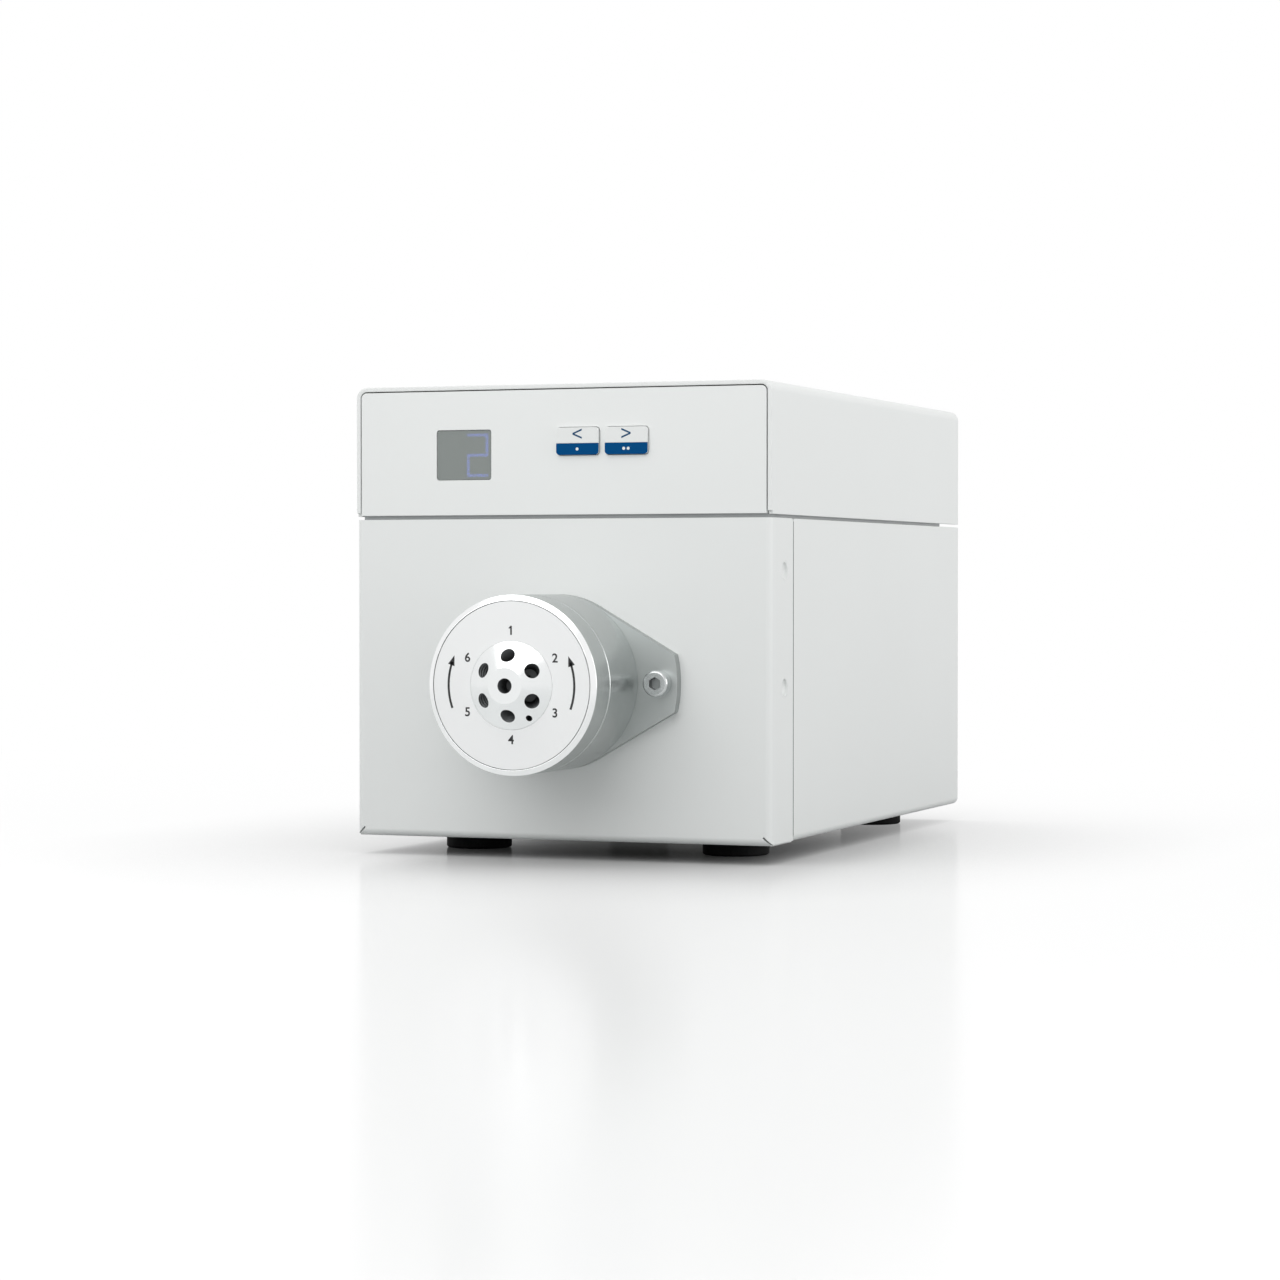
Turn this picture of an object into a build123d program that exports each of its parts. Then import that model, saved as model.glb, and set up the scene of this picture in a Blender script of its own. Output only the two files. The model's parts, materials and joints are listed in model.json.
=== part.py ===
from build123d import *
from math import acos, atan2, cos, degrees, pi, radians, sin, sqrt, tan
import os

# Two-position injection valve with its electric drive.
# Millimetres.  X is to the right, Y goes back from the front panel, Z is up.
# Pieces are placed with Y = 0 on the front panel's face and Z = 0 on the bench,
# and save() moves them all so that the origin is under the middle of the whole unit.

# ---- housing -------------------------------------------------------------------------
body_width = 121.0
body_depth = 187.0
foot_height = 5.2
lower_height = 87.3
seam_gap = 0.9
hood_height = 35.6
panel_thickness = 1.5
hood_thickness = 1.2
panel_bend_radius = 2.0
hood_bend_radius = 3.0
panel_flange_depth = 18.3
panel_joint_gap = 0.3
corner_slit = 0.7
seam_corner_radius = 1.2
hood_notch = 0.9
rear_panel_setback = 16.6
chassis_thickness = 1.5
chassis_rise = 10.0
ear_width = 11.0
ear_depth = 14.0
crossbar_below = 1.5
crossbar_above = 2.0
fit_gap = 0.3
assembly_gap = 0.02
overcut = 1.0
upright = 90.0

rivet_radius = 2.75
rivet_dish_depth = 0.6
rivet_rim = 0.4
rivet_setback = 10.8
rivet_low = 41.9
rivet_spacing = 31.3

foot_radius = 9.25
foot_side_inset = 21.9
foot_front_inset = 34.8
foot_rear_inset = 22.8
foot_chamfer = 0.6
foot_screw_radius = 1.5
foot_screw_head_radius = 3.1
foot_screw_head_height = 1.8
foot_counterbore_depth = 2.8
foot_nut_height = 2.4
foot_nut_flats = 5.5
foot_screw_tail = 1.0

hood_tab_width = 14.0
hood_tab_height = 9.0
hood_tab_inset = 23.3
small_screw_radius = 1.25
small_head_radius = 2.5
small_head_height = 1.8
hood_screw_length = 5.0
rear_flange_depth = 8.0

# ---- control fascia ------------------------------------------------------------------
fascia_thickness = 2.0
fascia_lift = 0.2
stud_radius = 1.5
stud_length = 7.0
stud_side_inset = 4.5
stud_edge = 6.0
stud_nut_flats = 5.5
stud_nut_height = 2.4

window_inset = 24.2
window_width = 16.2
window_low = 98.0
window_height = 13.7
window_corner = 0.7
window_recess = 0.2
window_lip = 1.5
window_lip_thickness = 0.8
snug_gap = 0.1

digit_width = 6.3
digit_height = 11.8
digit_stroke = 0.75
digit_edge = 1.7
digit_thickness = 0.1

key_left = -0.7
key_pitch = 14.1
key_width = 12.3
key_low = 104.5
key_height = 7.4
key_corner = 1.0
key_band_height = 3.1
key_band_thickness = 0.3
key_stand = 0.8
key_gap = 0.15
key_lip = 0.6
key_travel = 0.6
key_stem_radius = 1.6

board_thickness = 1.6
keypad_board_setback = 9.0
keypad_board_side_gap = 1.5
keypad_board_height = 29.0
keypad_spacer_radius = 2.5
keypad_spacer_inset = 4.0
keypad_spacer_height = 23.0
switch_width = 6.0
switch_height = 3.5

# ---- valve head ----------------------------------------------------------------------
axis_height = 48.3
valve_radius = 23.75
flange_thickness = 3.0
flange_end_radius = 35.0
flange_slope = 30.0
flange_screw_spread = 60.0
flange_screw_radius = 2.0
flange_screw_head_radius = 3.5
flange_screw_head_height = 4.0
flange_screw_length = 10.0
hex_flats = 3.0
hex_depth = 2.0

valve_body_length = 20.6
clamp_ring_length = 10.4
ring_chamfer = 0.9
ring_chamfer_width = 1.35
spigot_inset = 2.45
spigot_radius = valve_radius - spigot_inset
spigot_length = 6.0
pilot_radius = 12.4
pilot_reach = 1.0

dial_inset = 1.7
dial_radius = valve_radius - dial_inset
dial_thickness = 0.8
dial_gap = 0.2
hub_radius = 11.6
hub_rise = 4.4
hub_flat_radius = 4.75
stator_flange_radius = 17.5
stator_flange_thickness = 4.0

port_count = 6
port_ring_radius = 7.95
port_radius = 2.0
port_depth = 6.0
passage_radius = 0.3
locating_hole_radius = 0.8
locating_hole_depth = 2.0
locating_hole_ring = 10.1
locating_hole_angle = -57.0

rotor_seal_radius = 6.0
rotor_seal_thickness = 3.0
rotor_groove_width = 0.5
rotor_groove_depth = 0.3
face_gap = 0.05
rotor_bore_radius = 7.8
shaft_flange_radius = 7.5
shaft_flange_thickness = 4.0
valve_shaft_radius = 4.0
running_gap = 0.05
rotor_pin_count = 3
rotor_pin_radius = 0.6
rotor_pin_ring = 4.2
rotor_pin_length = 3.0
thrust_washer_thickness = 1.0
thrust_cage_thickness = 2.0
spring_count = 4
spring_bore_gap = 0.3
spring_thickness = 0.8
spring_cone = 0.6
nut_bore_radius = 9.0
preload_nut_length = 5.0
preload_nut_slot = 2.0
body_screw_count = 3
body_screw_ring = 17.5
body_screw_length = 9.0

# ---- drive ---------------------------------------------------------------------------
plate_width = 74.0
plate_drop = 27.0
plate_rise = 12.0
front_plate_thickness = 6.0
rear_plate_thickness = 4.0
plate_corner = 4.0
gear_room = 12.0
gear_module = 0.8
gear_teeth = 60
pinion_teeth = 15
gear_width = 6.0
pinion_width = 7.5
pressure_angle = 20.0
tooth_height_share = 0.9
tooth_root_share = 1.2
backlash = 0.08
gear_web_thickness = 3.0
gear_rim = 3.5
gear_hole_count = 6
gear_hole_radius = 3.6
gear_side_gap = 0.3
gear_hub_radius = 8.0

drive_shaft_radius = 4.0
bush_radius = 7.0
bush_flange_radius = 9.0
bush_flange_thickness = 1.2
shaft_tail = 4.0
coupling_radius = 7.6
coupling_length = 4.6
coupling_slot = 2.6
cross_pin_radius = 1.25
cross_pin_length = 13.0

encoder_radius = 20.0
encoder_thickness = 0.6
encoder_slots = 6
encoder_slot_width = 1.6
encoder_slot_length = 4.0
encoder_slot_edge = 1.0
encoder_seat_radius = 6.0
sensor_width = 12.0
sensor_overlap = 7.0
sensor_below = 3.5
sensor_wall = 1.3
sensor_slot = 1.5

spacer_radius = 4.0
spacer_inset = 6.0
plate_screw_radius = 1.5
spacer_screw_grip = 3.5
countersunk_head_radius = 2.9
countersunk_head_depth = 1.5

motor_size = 42.3
motor_corner = 5.0
motor_cap_length = 8.5
motor_stack_length = 17.0
motor_stack_inset = 0.6
motor_boss_radius = 11.0
motor_boss_height = 2.0
motor_shaft_radius = 2.5
motor_screw_pitch = 31.0

# ---- electronics ---------------------------------------------------------------------
board_side_gap = 9.5
board_front = 66.0
board_rear_gap = 3.4
board_lift = 6.0
board_screw_edge = 4.5
board_screw_rear = 12.0
board_screw_length = 5.0
chip_size = 12.0
chip_height = 2.4
chip_pitch = 20.0
chip_setback = 36.0
capacitor_count = 3
capacitor_pitch = 13.0
capacitor_radius = 5.0
capacitor_height = 16.0
header_length = 14.0
header_width = 6.0
header_height = 6.0
ribbon_width = 12.7
ribbon_thickness = 0.9
ribbon_bend = 6.0
ribbon_place = 27.0
cable_radius = 1.8
cable_bend = 8.0
cable_place = -10.0
cable_drop = 12.0
cable_setback = 18.0

connector_stand = 1.2
jack_inset = 20.0
jack_width = 10.0
jack_height = 11.5
jack_depth = 14.0
jack_bore_radius = 3.1
jack_bore_depth = 9.5
jack_pin_radius = 1.0
terminal_pitch = 3.5
terminal_count = 8
terminal_height = 9.0
terminal_depth = 14.0
terminal_hole = 2.2
serial_inset = 31.5
serial_flange_width = 30.8
serial_flange_height = 12.5
serial_flange_thickness = 0.8
serial_shell_width = 16.9
serial_shell_height = 8.4
serial_shell_depth = 5.8
serial_shell_taper = 10.0
serial_body_depth = 10.0
serial_screw_spread = 25.0
jackscrew_flats = 4.8
jackscrew_length = 5.0
jackscrew_hole = 1.5

# ---- worked out from the above ---------------------------------------------------------
half_width = body_width / 2
lower_top = foot_height + lower_height
hood_bottom = lower_top + seam_gap
hood_top = hood_bottom + hood_height
hood_ceiling = hood_top - hood_thickness
panel_inside = half_width - panel_thickness
hood_inside = half_width - hood_thickness
tray_floor = foot_height + panel_thickness
chassis_floor = tray_floor + chassis_thickness
chassis_inside = panel_inside - chassis_thickness
rear_plane = body_depth - rear_panel_setback
rear_inside = rear_plane - panel_thickness

flange_face = -flange_thickness
ring_joint = flange_face - valve_body_length
dial_face = ring_joint - clamp_ring_length
valve_nose = dial_face - hub_rise
ring_lip = ring_joint - spigot_length - 0.2
seal_face = ring_lip + stator_flange_thickness
shaft_seat = seal_face + face_gap + rotor_seal_thickness
shaft_shoulder = shaft_seat + shaft_flange_thickness
thrust_front = shaft_shoulder + face_gap
thrust_length = 2 * thrust_washer_thickness + thrust_cage_thickness
springs_front = thrust_front + thrust_length
springs_length = spring_count * (spring_thickness + spring_cone)
nut_front = springs_front + springs_length
valve_reach = -valve_nose

plates_front = panel_thickness
front_plate_back = plates_front + front_plate_thickness
rear_plate_front = front_plate_back + gear_room
rear_plate_back = rear_plate_front + rear_plate_thickness
gear_radius = gear_module * gear_teeth / 2
pinion_radius = gear_module * pinion_teeth / 2
centre_distance = gear_radius + pinion_radius
motor_height = axis_height + centre_distance
gear_back = rear_plate_front - bush_flange_thickness - gear_side_gap
gear_front = gear_back - gear_width
front_y = (valve_reach - body_depth) / 2

cone_angle = degrees(atan2(hub_rise, hub_radius - hub_flat_radius))
port_mouth = dial_face - (hub_radius - port_ring_radius) * tan(radians(cone_angle))
passage_ring = port_ring_radius - (seal_face - port_mouth) * tan(radians(cone_angle))
coupling_back = plates_front - fit_gap
coupling_front = coupling_back - coupling_length
cross_pin_place = coupling_front + coupling_slot / 2
shaft_meeting = cross_pin_place + cross_pin_radius + 2 * fit_gap
shaft_back = rear_plate_back + shaft_tail
encoder_front = front_plate_back + sensor_wall + (sensor_slot - encoder_thickness) / 2
encoder_back = encoder_front + encoder_thickness
motor_front = rear_plate_back
motor_stack_front = motor_front + motor_cap_length
motor_stack_back = motor_stack_front + motor_stack_length
motor_back = motor_stack_back + motor_cap_length
pinion_back = gear_back + (pinion_width - gear_width) / 2
pinion_front = pinion_back - pinion_width

ear_inside = chassis_inside - ear_width
ear_top = hood_ceiling - hood_bend_radius + hood_thickness - snug_gap
stud_place = chassis_inside - stud_side_inset
fascia_bottom = hood_bottom + fascia_lift
fascia_top = hood_ceiling - fit_gap
fascia_middle = (fascia_bottom + fascia_top) / 2
window_left = window_inset - half_width
window_lip_back = fascia_thickness + window_lip_thickness
module_face = window_lip_back + 2 * snug_gap
keypad_board_back = keypad_board_setback + board_thickness
keypad_header_back = keypad_board_back + header_height
keypad_board_edge = ear_inside - keypad_board_side_gap
keypad_spacer_place = keypad_board_edge - keypad_spacer_inset

board_edge = chassis_inside - board_side_gap
board_low = chassis_floor + board_lift
board_top = board_low + board_thickness
board_back = rear_inside - board_rear_gap
header_top = board_top + header_height
hood_tab_place = hood_inside - hood_tab_inset
connector_back = rear_plane + connector_stand
jack_place = jack_inset - panel_inside
serial_place = panel_inside - serial_inset
terminal_place = (jack_place + jack_width / 2 + serial_place - serial_flange_width / 2) / 2
serial_height = board_top + serial_flange_height / 2 + fit_gap


# ---- helpers ---------------------------------------------------------------------------
def save(name, *solids):
    """Writes one named piece, or a group of like pieces, in the unit's own frame."""
    moved = [Pos(0, front_y, 0) * solid for solid in solids]
    shape = moved[0] if len(moved) == 1 else Compound(children=moved)
    shape.label = name
    export_step(shape, f"parts/{name}.step")


def block(left, right, front, back, low, high):
    middle = Pos((left + right) / 2, (front + back) / 2, (low + high) / 2)
    return middle * Box(right - left, back - front, high - low)


def rod_y(radius, front, back, x=0.0, z=0.0):
    return Pos(x, (front + back) / 2, z) * Rot(90, 0, 0) * Cylinder(radius, back - front)


def rod_x(radius, left, right, y=0.0, z=0.0):
    return Pos((left + right) / 2, y, z) * Rot(0, 90, 0) * Cylinder(radius, right - left)


def rod_z(radius, low, high, x=0.0, y=0.0):
    return Pos(x, y, (low + high) / 2) * Cylinder(radius, high - low)


def turned(*points):
    """A piece turned about the valve's axis, from (radius, y) points."""
    profile = make_face(Polyline(*points, close=True))
    return Pos(0, 0, axis_height) * revolve(profile, Axis.Y)


def ring_y(outer, inner, front, back):
    return turned((inner, front), (outer, front), (outer, back), (inner, back))


def sheet_y(outline, front, back):
    """An outline drawn in X and Z, made solid from front to back."""
    return Pos(0, back, 0) * Rot(90, 0, 0) * extrude(outline, back - front)


def sheet_x(outline, left, right):
    """An outline drawn in Y and Z, made solid from left to right."""
    return Pos(left, 0, 0) * extrude(Plane.YZ * outline, right - left)


def rectangle(left, right, low, high):
    return Pos((left + right) / 2, (low + high) / 2) * Rectangle(right - left, high - low)


def rounded(left, right, low, high, corner):
    middle = Pos((left + right) / 2, (low + high) / 2)
    return middle * RectangleRounded(right - left, high - low, corner)


def bent(left, right, low, high, thickness, radius, side):
    """The section of a sheet bent twice into a U that is open at the other side."""
    edge = 0 if side < 0 else -1
    outside = rectangle(left, right, low, high)
    outside = fillet(outside.vertices().group_by(Axis.Y)[edge], radius)
    if side < 0:
        inside = rectangle(left + thickness, right - thickness, low + thickness, high + overcut)
    else:
        inside = rectangle(left + thickness, right - thickness, low - overcut, high - thickness)
    if radius > thickness:
        inside = fillet(inside.vertices().group_by(Axis.Y)[edge], radius - thickness)
    return outside - inside


def pan_screw(length, radius=small_screw_radius, head=small_head_radius, height=small_head_height):
    """A pan-head screw that points down, with its seat at Z = 0."""
    head_solid = Pos(0, 0, height / 2) * Cylinder(head, height)
    head_solid = chamfer(head_solid.edges().group_by(Axis.Z)[-1], height / 4)
    return head_solid + Pos(0, 0, -length / 2) * Cylinder(radius, length)


def countersunk_screw(length, gap=0.0):
    """A countersunk screw that points down, with its flat head at Z = 0, or the hole for it."""
    radius = plate_screw_radius + gap
    head = countersunk_head_radius + gap
    depth = countersunk_head_depth
    profile = Polyline((0, 0), (head, 0), (radius, -depth), (radius, -length), (0, -length), close=True)
    return revolve(Plane.XZ * make_face(profile), Axis.Z)


def hex_nut(flats, bore, height):
    return extrude(RegularPolygon(flats / sqrt(3), 6) - Circle(bore), height)


facing_back = Rot(-90, 0, 0)
facing_front = Rot(90, 0, 0)


# ---- sheet-metal housing ---------------------------------------------------------------
def rivet_places():
    """Where the side flanges of the front panel are riveted, as (side, height)."""
    for side in (-1, 1):
        for row in range(2):
            yield side, foot_height + rivet_low + row * rivet_spacing


def side_outline(front, back, corner_vertex):
    """A side wall's outline, with one top corner rounded at the seam."""
    outline = rectangle(front, back, foot_height - overcut, lower_top)
    corner = outline.vertices().group_by(Axis.Y)[-1].sort_by(Axis.X)[corner_vertex]
    return fillet(corner, seam_corner_radius)


def front_panel():
    walls = bent(-half_width, half_width, 0, panel_flange_depth, panel_thickness, panel_bend_radius, -1)
    sides = Pos(0, 0, foot_height) * extrude(walls, lower_height)
    section = rectangle(0, panel_flange_depth, foot_height, lower_top)
    corner = section.vertices().group_by(Axis.Y)[0].sort_by(Axis.X)[0]
    section = fillet(corner, panel_bend_radius)
    hollow = rectangle(panel_thickness, panel_flange_depth + overcut, tray_floor, lower_top + overcut)
    base = sheet_x(section - hollow, -half_width, half_width)
    bend_top = foot_height + panel_bend_radius

    def mitre(inset):
        """The strip below the corners' slits, which the bottom flange fills."""
        edge = half_width - inset
        inner = edge - panel_bend_radius
        points = [(-edge, foot_height), (edge, foot_height), (inner, bend_top), (-inner, bend_top)]
        return sheet_y(make_face(Polyline(*points, close=True)), -overcut, panel_flange_depth + overcut)

    panel = (sides - mitre(0)) + (base & mitre(corner_slit))
    panel &= sheet_x(side_outline(-overcut, panel_flange_depth, -1), -half_width, half_width)
    panel -= rod_y(pilot_radius + snug_gap, -overcut, panel_thickness + overcut, 0, axis_height)
    for side in (-1, 1):
        x = side * flange_screw_spread / 2
        panel -= rod_y(flange_screw_radius + fit_gap, -overcut, panel_thickness + overcut, x, axis_height)
    for side, height in rivet_places():
        outer = side * (half_width + overcut)
        inner = side * (panel_inside - overcut)
        panel -= rod_x(rivet_radius, min(outer, inner), max(outer, inner), rivet_setback, height)
    return panel


def side_rivets():
    """Dished rivets that hold the front panel's flanges to the chassis."""
    edge = rivet_radius - assembly_gap
    dish = rivet_radius - rivet_rim
    low = panel_thickness - rivet_dish_depth
    ball = (dish**2 + rivet_dish_depth**2) / (2 * rivet_dish_depth)
    bend = (dish / 2, low + ball - sqrt(ball**2 - (dish / 2) ** 2))
    foot = Polyline((0, low), (0, 0), (edge, 0), (edge, panel_thickness), (dish, panel_thickness))
    hollow = ThreePointArc((dish, panel_thickness), bend, (0, low))
    rivet = revolve(Plane.XZ * make_face(foot + hollow), Axis.Z)
    rivets = []
    for side, height in rivet_places():
        rivets.append(Pos(side * panel_inside, rivet_setback, height) * Rot(0, side * 90, 0) * rivet)
    return rivets


def foot_places():
    for side in (-1, 1):
        for y in (foot_front_inset, body_depth - foot_rear_inset):
            yield side * (half_width - foot_side_inset), y


def base_tray():
    front = panel_flange_depth + panel_joint_gap
    section = bent(-half_width, half_width, foot_height, lower_top, panel_thickness, panel_bend_radius, -1)
    tray = sheet_y(section, front, body_depth)
    tray &= sheet_x(side_outline(front, body_depth, 0), -half_width, half_width)
    for x, y in foot_places():
        tray -= rod_z(foot_screw_radius + snug_gap, foot_height - overcut, tray_floor + overcut, x, y)
    return tray


def chassis():
    """The inner U-shaped frame, with two ears and a crossbar behind the fascia."""
    wall_top = lower_top + chassis_rise
    section = bent(-panel_inside, panel_inside, tray_floor, ear_top, chassis_thickness, chassis_thickness, -1)
    frame = sheet_y(section, 0, rear_plane)
    ear_back = fascia_thickness + chassis_thickness
    outline = rectangle(panel_bend_radius, rear_plane, tray_floor, lower_top)
    outline += rectangle(fascia_thickness, rear_plane, lower_top - overcut, wall_top)
    outline += rectangle(fascia_thickness, fascia_thickness + ear_depth, lower_top - overcut, ear_top)
    frame &= sheet_x(outline, -half_width, half_width)
    for side in (-1, 1):
        ends = sorted((side * ear_inside, side * (chassis_inside + assembly_gap)))
        frame += block(ends[0], ends[1], fascia_thickness, ear_back, hood_bottom, ear_top)
    bar_low = lower_top - crossbar_below
    bar_high = hood_bottom + crossbar_above
    frame += block(-chassis_inside, chassis_inside, fascia_thickness, ear_back, bar_low, bar_high)
    for x, z in stud_places():
        frame -= rod_y(stud_radius + snug_gap, 0, ear_depth, x, z)
    for x, y in foot_places():
        frame -= rod_z(foot_screw_radius + snug_gap, tray_floor - overcut, chassis_floor + overcut, x, y)
    return frame


def hood_screw_places():
    for side in (-1, 1):
        yield side * hood_tab_place, hood_ceiling - hood_tab_height / 2


def rear_panel():
    """The recessed back wall, with its side flanges and the connectors' cut-outs."""
    wall_top = lower_top + chassis_rise + fit_gap
    corner = hood_bend_radius - hood_thickness - fit_gap
    upper = rectangle(-panel_inside, panel_inside, wall_top, fascia_top)
    upper = fillet(upper.vertices().group_by(Axis.Y)[-1], corner)
    outline = upper + rectangle(-chassis_inside, chassis_inside, chassis_floor, wall_top + overcut)
    jack_edge = jack_width / 2 + snug_gap
    block_edge = terminal_count * terminal_pitch / 2 + snug_gap
    for place, edge, height in (
        (jack_place, jack_edge, jack_height),
        (terminal_place, block_edge, terminal_height),
    ):
        outline -= rectangle(place - edge, place + edge, board_top - snug_gap, board_top + height + snug_gap)
    outline -= Pos(serial_place, serial_height) * serial_outline(2 * snug_gap)
    for side in (-1, 1):
        outline -= Pos(serial_place + side * serial_screw_spread / 2, serial_height) * Circle(jackscrew_hole)
    for x, z in hood_screw_places():
        outline -= Pos(x, z) * Circle(small_screw_radius + assembly_gap)
    panel = sheet_y(outline, rear_inside, rear_plane)
    flange_front = rear_inside - rear_flange_depth
    for side in (-1, 1):
        ends = sorted((side * chassis_inside, side * (chassis_inside - panel_thickness)))
        panel += block(ends[0], ends[1], flange_front, rear_inside, chassis_floor, lower_top)
    return panel


def hood():
    section = bent(-half_width, half_width, hood_bottom, hood_top, hood_thickness, hood_bend_radius, 1)
    cover = sheet_y(section, 0, body_depth)
    for side in (-1, 1):
        ends = sorted((side * hood_inside, side * (half_width + overcut)))
        low = hood_bottom - overcut
        cover -= block(ends[0], ends[1], -overcut, hood_notch, low, hood_bottom + hood_notch)
    tab_low = hood_ceiling - hood_tab_height
    for x, z in hood_screw_places():
        left = x - hood_tab_width / 2
        tab = rectangle(left, left + hood_tab_width, tab_low, hood_ceiling + assembly_gap)
        tab = fillet(tab.vertices().group_by(Axis.Y)[0], hood_tab_height / 3)
        cover += sheet_y(tab, rear_plane, rear_plane + hood_thickness)
        hole_back = rear_plane + 2 * hood_thickness
        cover -= rod_y(small_screw_radius + snug_gap, rear_plane - overcut, hole_back, x, z)
    return cover


def hood_screws():
    screws = []
    for x, z in hood_screw_places():
        screws.append(Pos(x, rear_plane + hood_thickness, z) * facing_back * pan_screw(hood_screw_length))
    return screws


def feet():
    """Round rubber feet, with a recess for the screw's head."""
    rubber = []
    for x, y in foot_places():
        foot = rod_z(foot_radius, 0, foot_height, x, y)
        foot = chamfer(foot.edges().group_by(Axis.Z)[0], foot_chamfer)
        foot -= rod_z(foot_screw_head_radius + fit_gap, -overcut, foot_counterbore_depth, x, y)
        foot -= rod_z(foot_screw_radius + snug_gap, 0, foot_height + overcut, x, y)
        rubber.append(foot)
    return rubber


def foot_fasteners():
    fasteners = []
    length = chassis_floor - foot_counterbore_depth + foot_nut_height + foot_screw_tail
    for x, y in foot_places():
        screw = pan_screw(length, foot_screw_radius, foot_screw_head_radius, foot_screw_head_height)
        fasteners.append(Pos(x, y, foot_counterbore_depth) * Rot(180, 0, 0) * screw)
        nut = hex_nut(foot_nut_flats, foot_screw_radius + assembly_gap, foot_nut_height)
        fasteners.append(Pos(x, y, chassis_floor) * nut)
    return fasteners


# ---- control fascia --------------------------------------------------------------------
def stud_places():
    for side in (-1, 1):
        for z in (fascia_bottom + stud_edge, ear_top - stud_edge):
            yield side * stud_place, z


def spacer_places():
    for side in (-1, 1):
        for row in (-1, 1):
            yield side * keypad_spacer_place, fascia_middle + row * keypad_spacer_height / 2


window_bottom = foot_height + window_low
key_bottom = foot_height + key_low
key_places = [key_left, key_left + key_pitch]


def window_outline(inset, corner):
    right = window_left + window_width
    top = window_bottom + window_height
    return rounded(window_left + inset, right - inset, window_bottom + inset, top - inset, corner)


def key_outline(left, grow):
    right = left + key_width
    top = key_bottom + key_height
    return rounded(left - grow, right + grow, key_bottom - grow, top + grow, key_corner + max(grow, 0))


def fascia():
    corner = hood_bend_radius - hood_thickness - fit_gap
    outline = rectangle(-panel_inside, panel_inside, fascia_bottom, fascia_top)
    outline = fillet(outline.vertices().group_by(Axis.Y)[-1], corner)
    outline -= window_outline(0, window_corner)
    for left in key_places:
        outline -= key_outline(left, key_gap)
    plate = sheet_y(outline, 0, fascia_thickness)
    for x, z in stud_places():
        plate += rod_y(stud_radius, fascia_thickness, fascia_thickness + stud_length, x, z)
    return plate


def fascia_nuts():
    nut = hex_nut(stud_nut_flats, stud_radius + assembly_gap, stud_nut_height)
    seat = fascia_thickness + chassis_thickness
    return [Pos(x, seat, z) * facing_back * nut for x, z in stud_places()]


def display_window():
    pane = sheet_y(window_outline(snug_gap, window_corner), window_recess, fascia_thickness)
    return pane + sheet_y(window_outline(-window_lip, window_corner), fascia_thickness, window_lip_back)


def display_module():
    return sheet_y(window_outline(-window_lip / 2, window_corner), module_face, keypad_board_setback)


def display_digit():
    """The lit bars of a seven-bar figure 2, as a thin plate on the module's face."""
    right = window_left + window_width - digit_edge
    left = right - digit_width
    low = window_bottom + (window_height - digit_height) / 2
    high = low + digit_height
    middle = (low + high) / 2
    half = digit_stroke / 2
    figure = rectangle(right - digit_stroke, right, middle - half, high)
    figure += rectangle(left, left + digit_stroke, low, middle + half)
    for bottom in (low, middle - half, high - digit_stroke):
        figure += rectangle(left, right, bottom, bottom + digit_stroke)
    return sheet_y(figure, module_face - digit_thickness, module_face)


def key(left):
    """A key cap with its retaining lip and the stem that works the switch."""
    lip_front = fascia_thickness + snug_gap
    lip_back = lip_front + key_lip
    x = left + key_width / 2
    z = key_bottom + key_height / 2
    cap = sheet_y(key_outline(left, 0), -key_stand, lip_back)
    cap += sheet_y(key_outline(left, key_gap + key_lip), lip_front, lip_back)
    cap += rod_y(key_stem_radius, lip_back - snug_gap, switch_front + fit_gap, x, z)
    return cap - key_band(left)


def key_band(left):
    """The coloured lower part of a key, let into its face."""
    band = rectangle(left, left + key_width, key_bottom, key_bottom + key_band_height)
    band &= key_outline(left, 0)
    return sheet_y(band, -key_stand, -key_stand + key_band_thickness)


switch_front = keypad_board_setback - switch_height


def tact_switches():
    switches = []
    for left in key_places:
        x = left + key_width / 2
        z = key_bottom + key_height / 2
        edge = switch_width / 2
        case = block(x - edge, x + edge, switch_front, keypad_board_setback, z - edge, z + edge)
        bore = key_stem_radius + key_gap
        bore_back = switch_front + fit_gap + 2 * key_travel
        switches.append(case - rod_y(bore, switch_front - overcut, bore_back, x, z))
    return switches


def keypad_board():
    half = keypad_board_height / 2
    edge = keypad_board_edge
    outline = rectangle(-edge, edge, fascia_middle - half, fascia_middle + half)
    for x, z in spacer_places():
        outline -= Pos(x, z) * Circle(small_screw_radius + snug_gap)
    return sheet_y(outline, keypad_board_setback, keypad_board_back)


def keypad_spacers():
    spacers = []
    for x, z in spacer_places():
        spacer = rod_y(keypad_spacer_radius, fascia_thickness, keypad_board_setback, x, z)
        hole_front = keypad_board_setback - board_screw_length
        hole = rod_y(small_screw_radius + assembly_gap, hole_front, keypad_board_setback + overcut, x, z)
        spacers.append(spacer - hole)
    return spacers


# ---- valve head ------------------------------------------------------------------------
def flange_screw_places():
    return [-flange_screw_spread / 2, flange_screw_spread / 2]


def body_screw_places():
    for index in range(body_screw_count):
        angle = radians(upright + 360 * index / body_screw_count)
        yield body_screw_ring * cos(angle), axis_height + body_screw_ring * sin(angle)


def flange_plate():
    """A round plate with two ears, whose straight edges run off the round at a tangent."""
    slope = radians(flange_slope)
    reach = valve_radius / sin(slope)
    peak = valve_radius / cos(slope)
    diamond = make_face(Polyline((reach, 0), (0, peak), (-reach, 0), (0, -peak), close=True))
    ears = diamond & Circle(flange_end_radius) & Rectangle(2 * reach, 2 * valve_radius * cos(slope))
    outline = Circle(valve_radius) + ears - Circle(pilot_radius + snug_gap)
    for x in flange_screw_places():
        outline -= Pos(x, 0) * Circle(flange_screw_radius + fit_gap)
    plate = sheet_y(Pos(0, axis_height) * outline, flange_face, 0)
    for x, z in body_screw_places():
        plate -= Pos(x, 0, z) * facing_back * countersunk_screw(flange_thickness + overcut, assembly_gap)
    return plate


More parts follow.
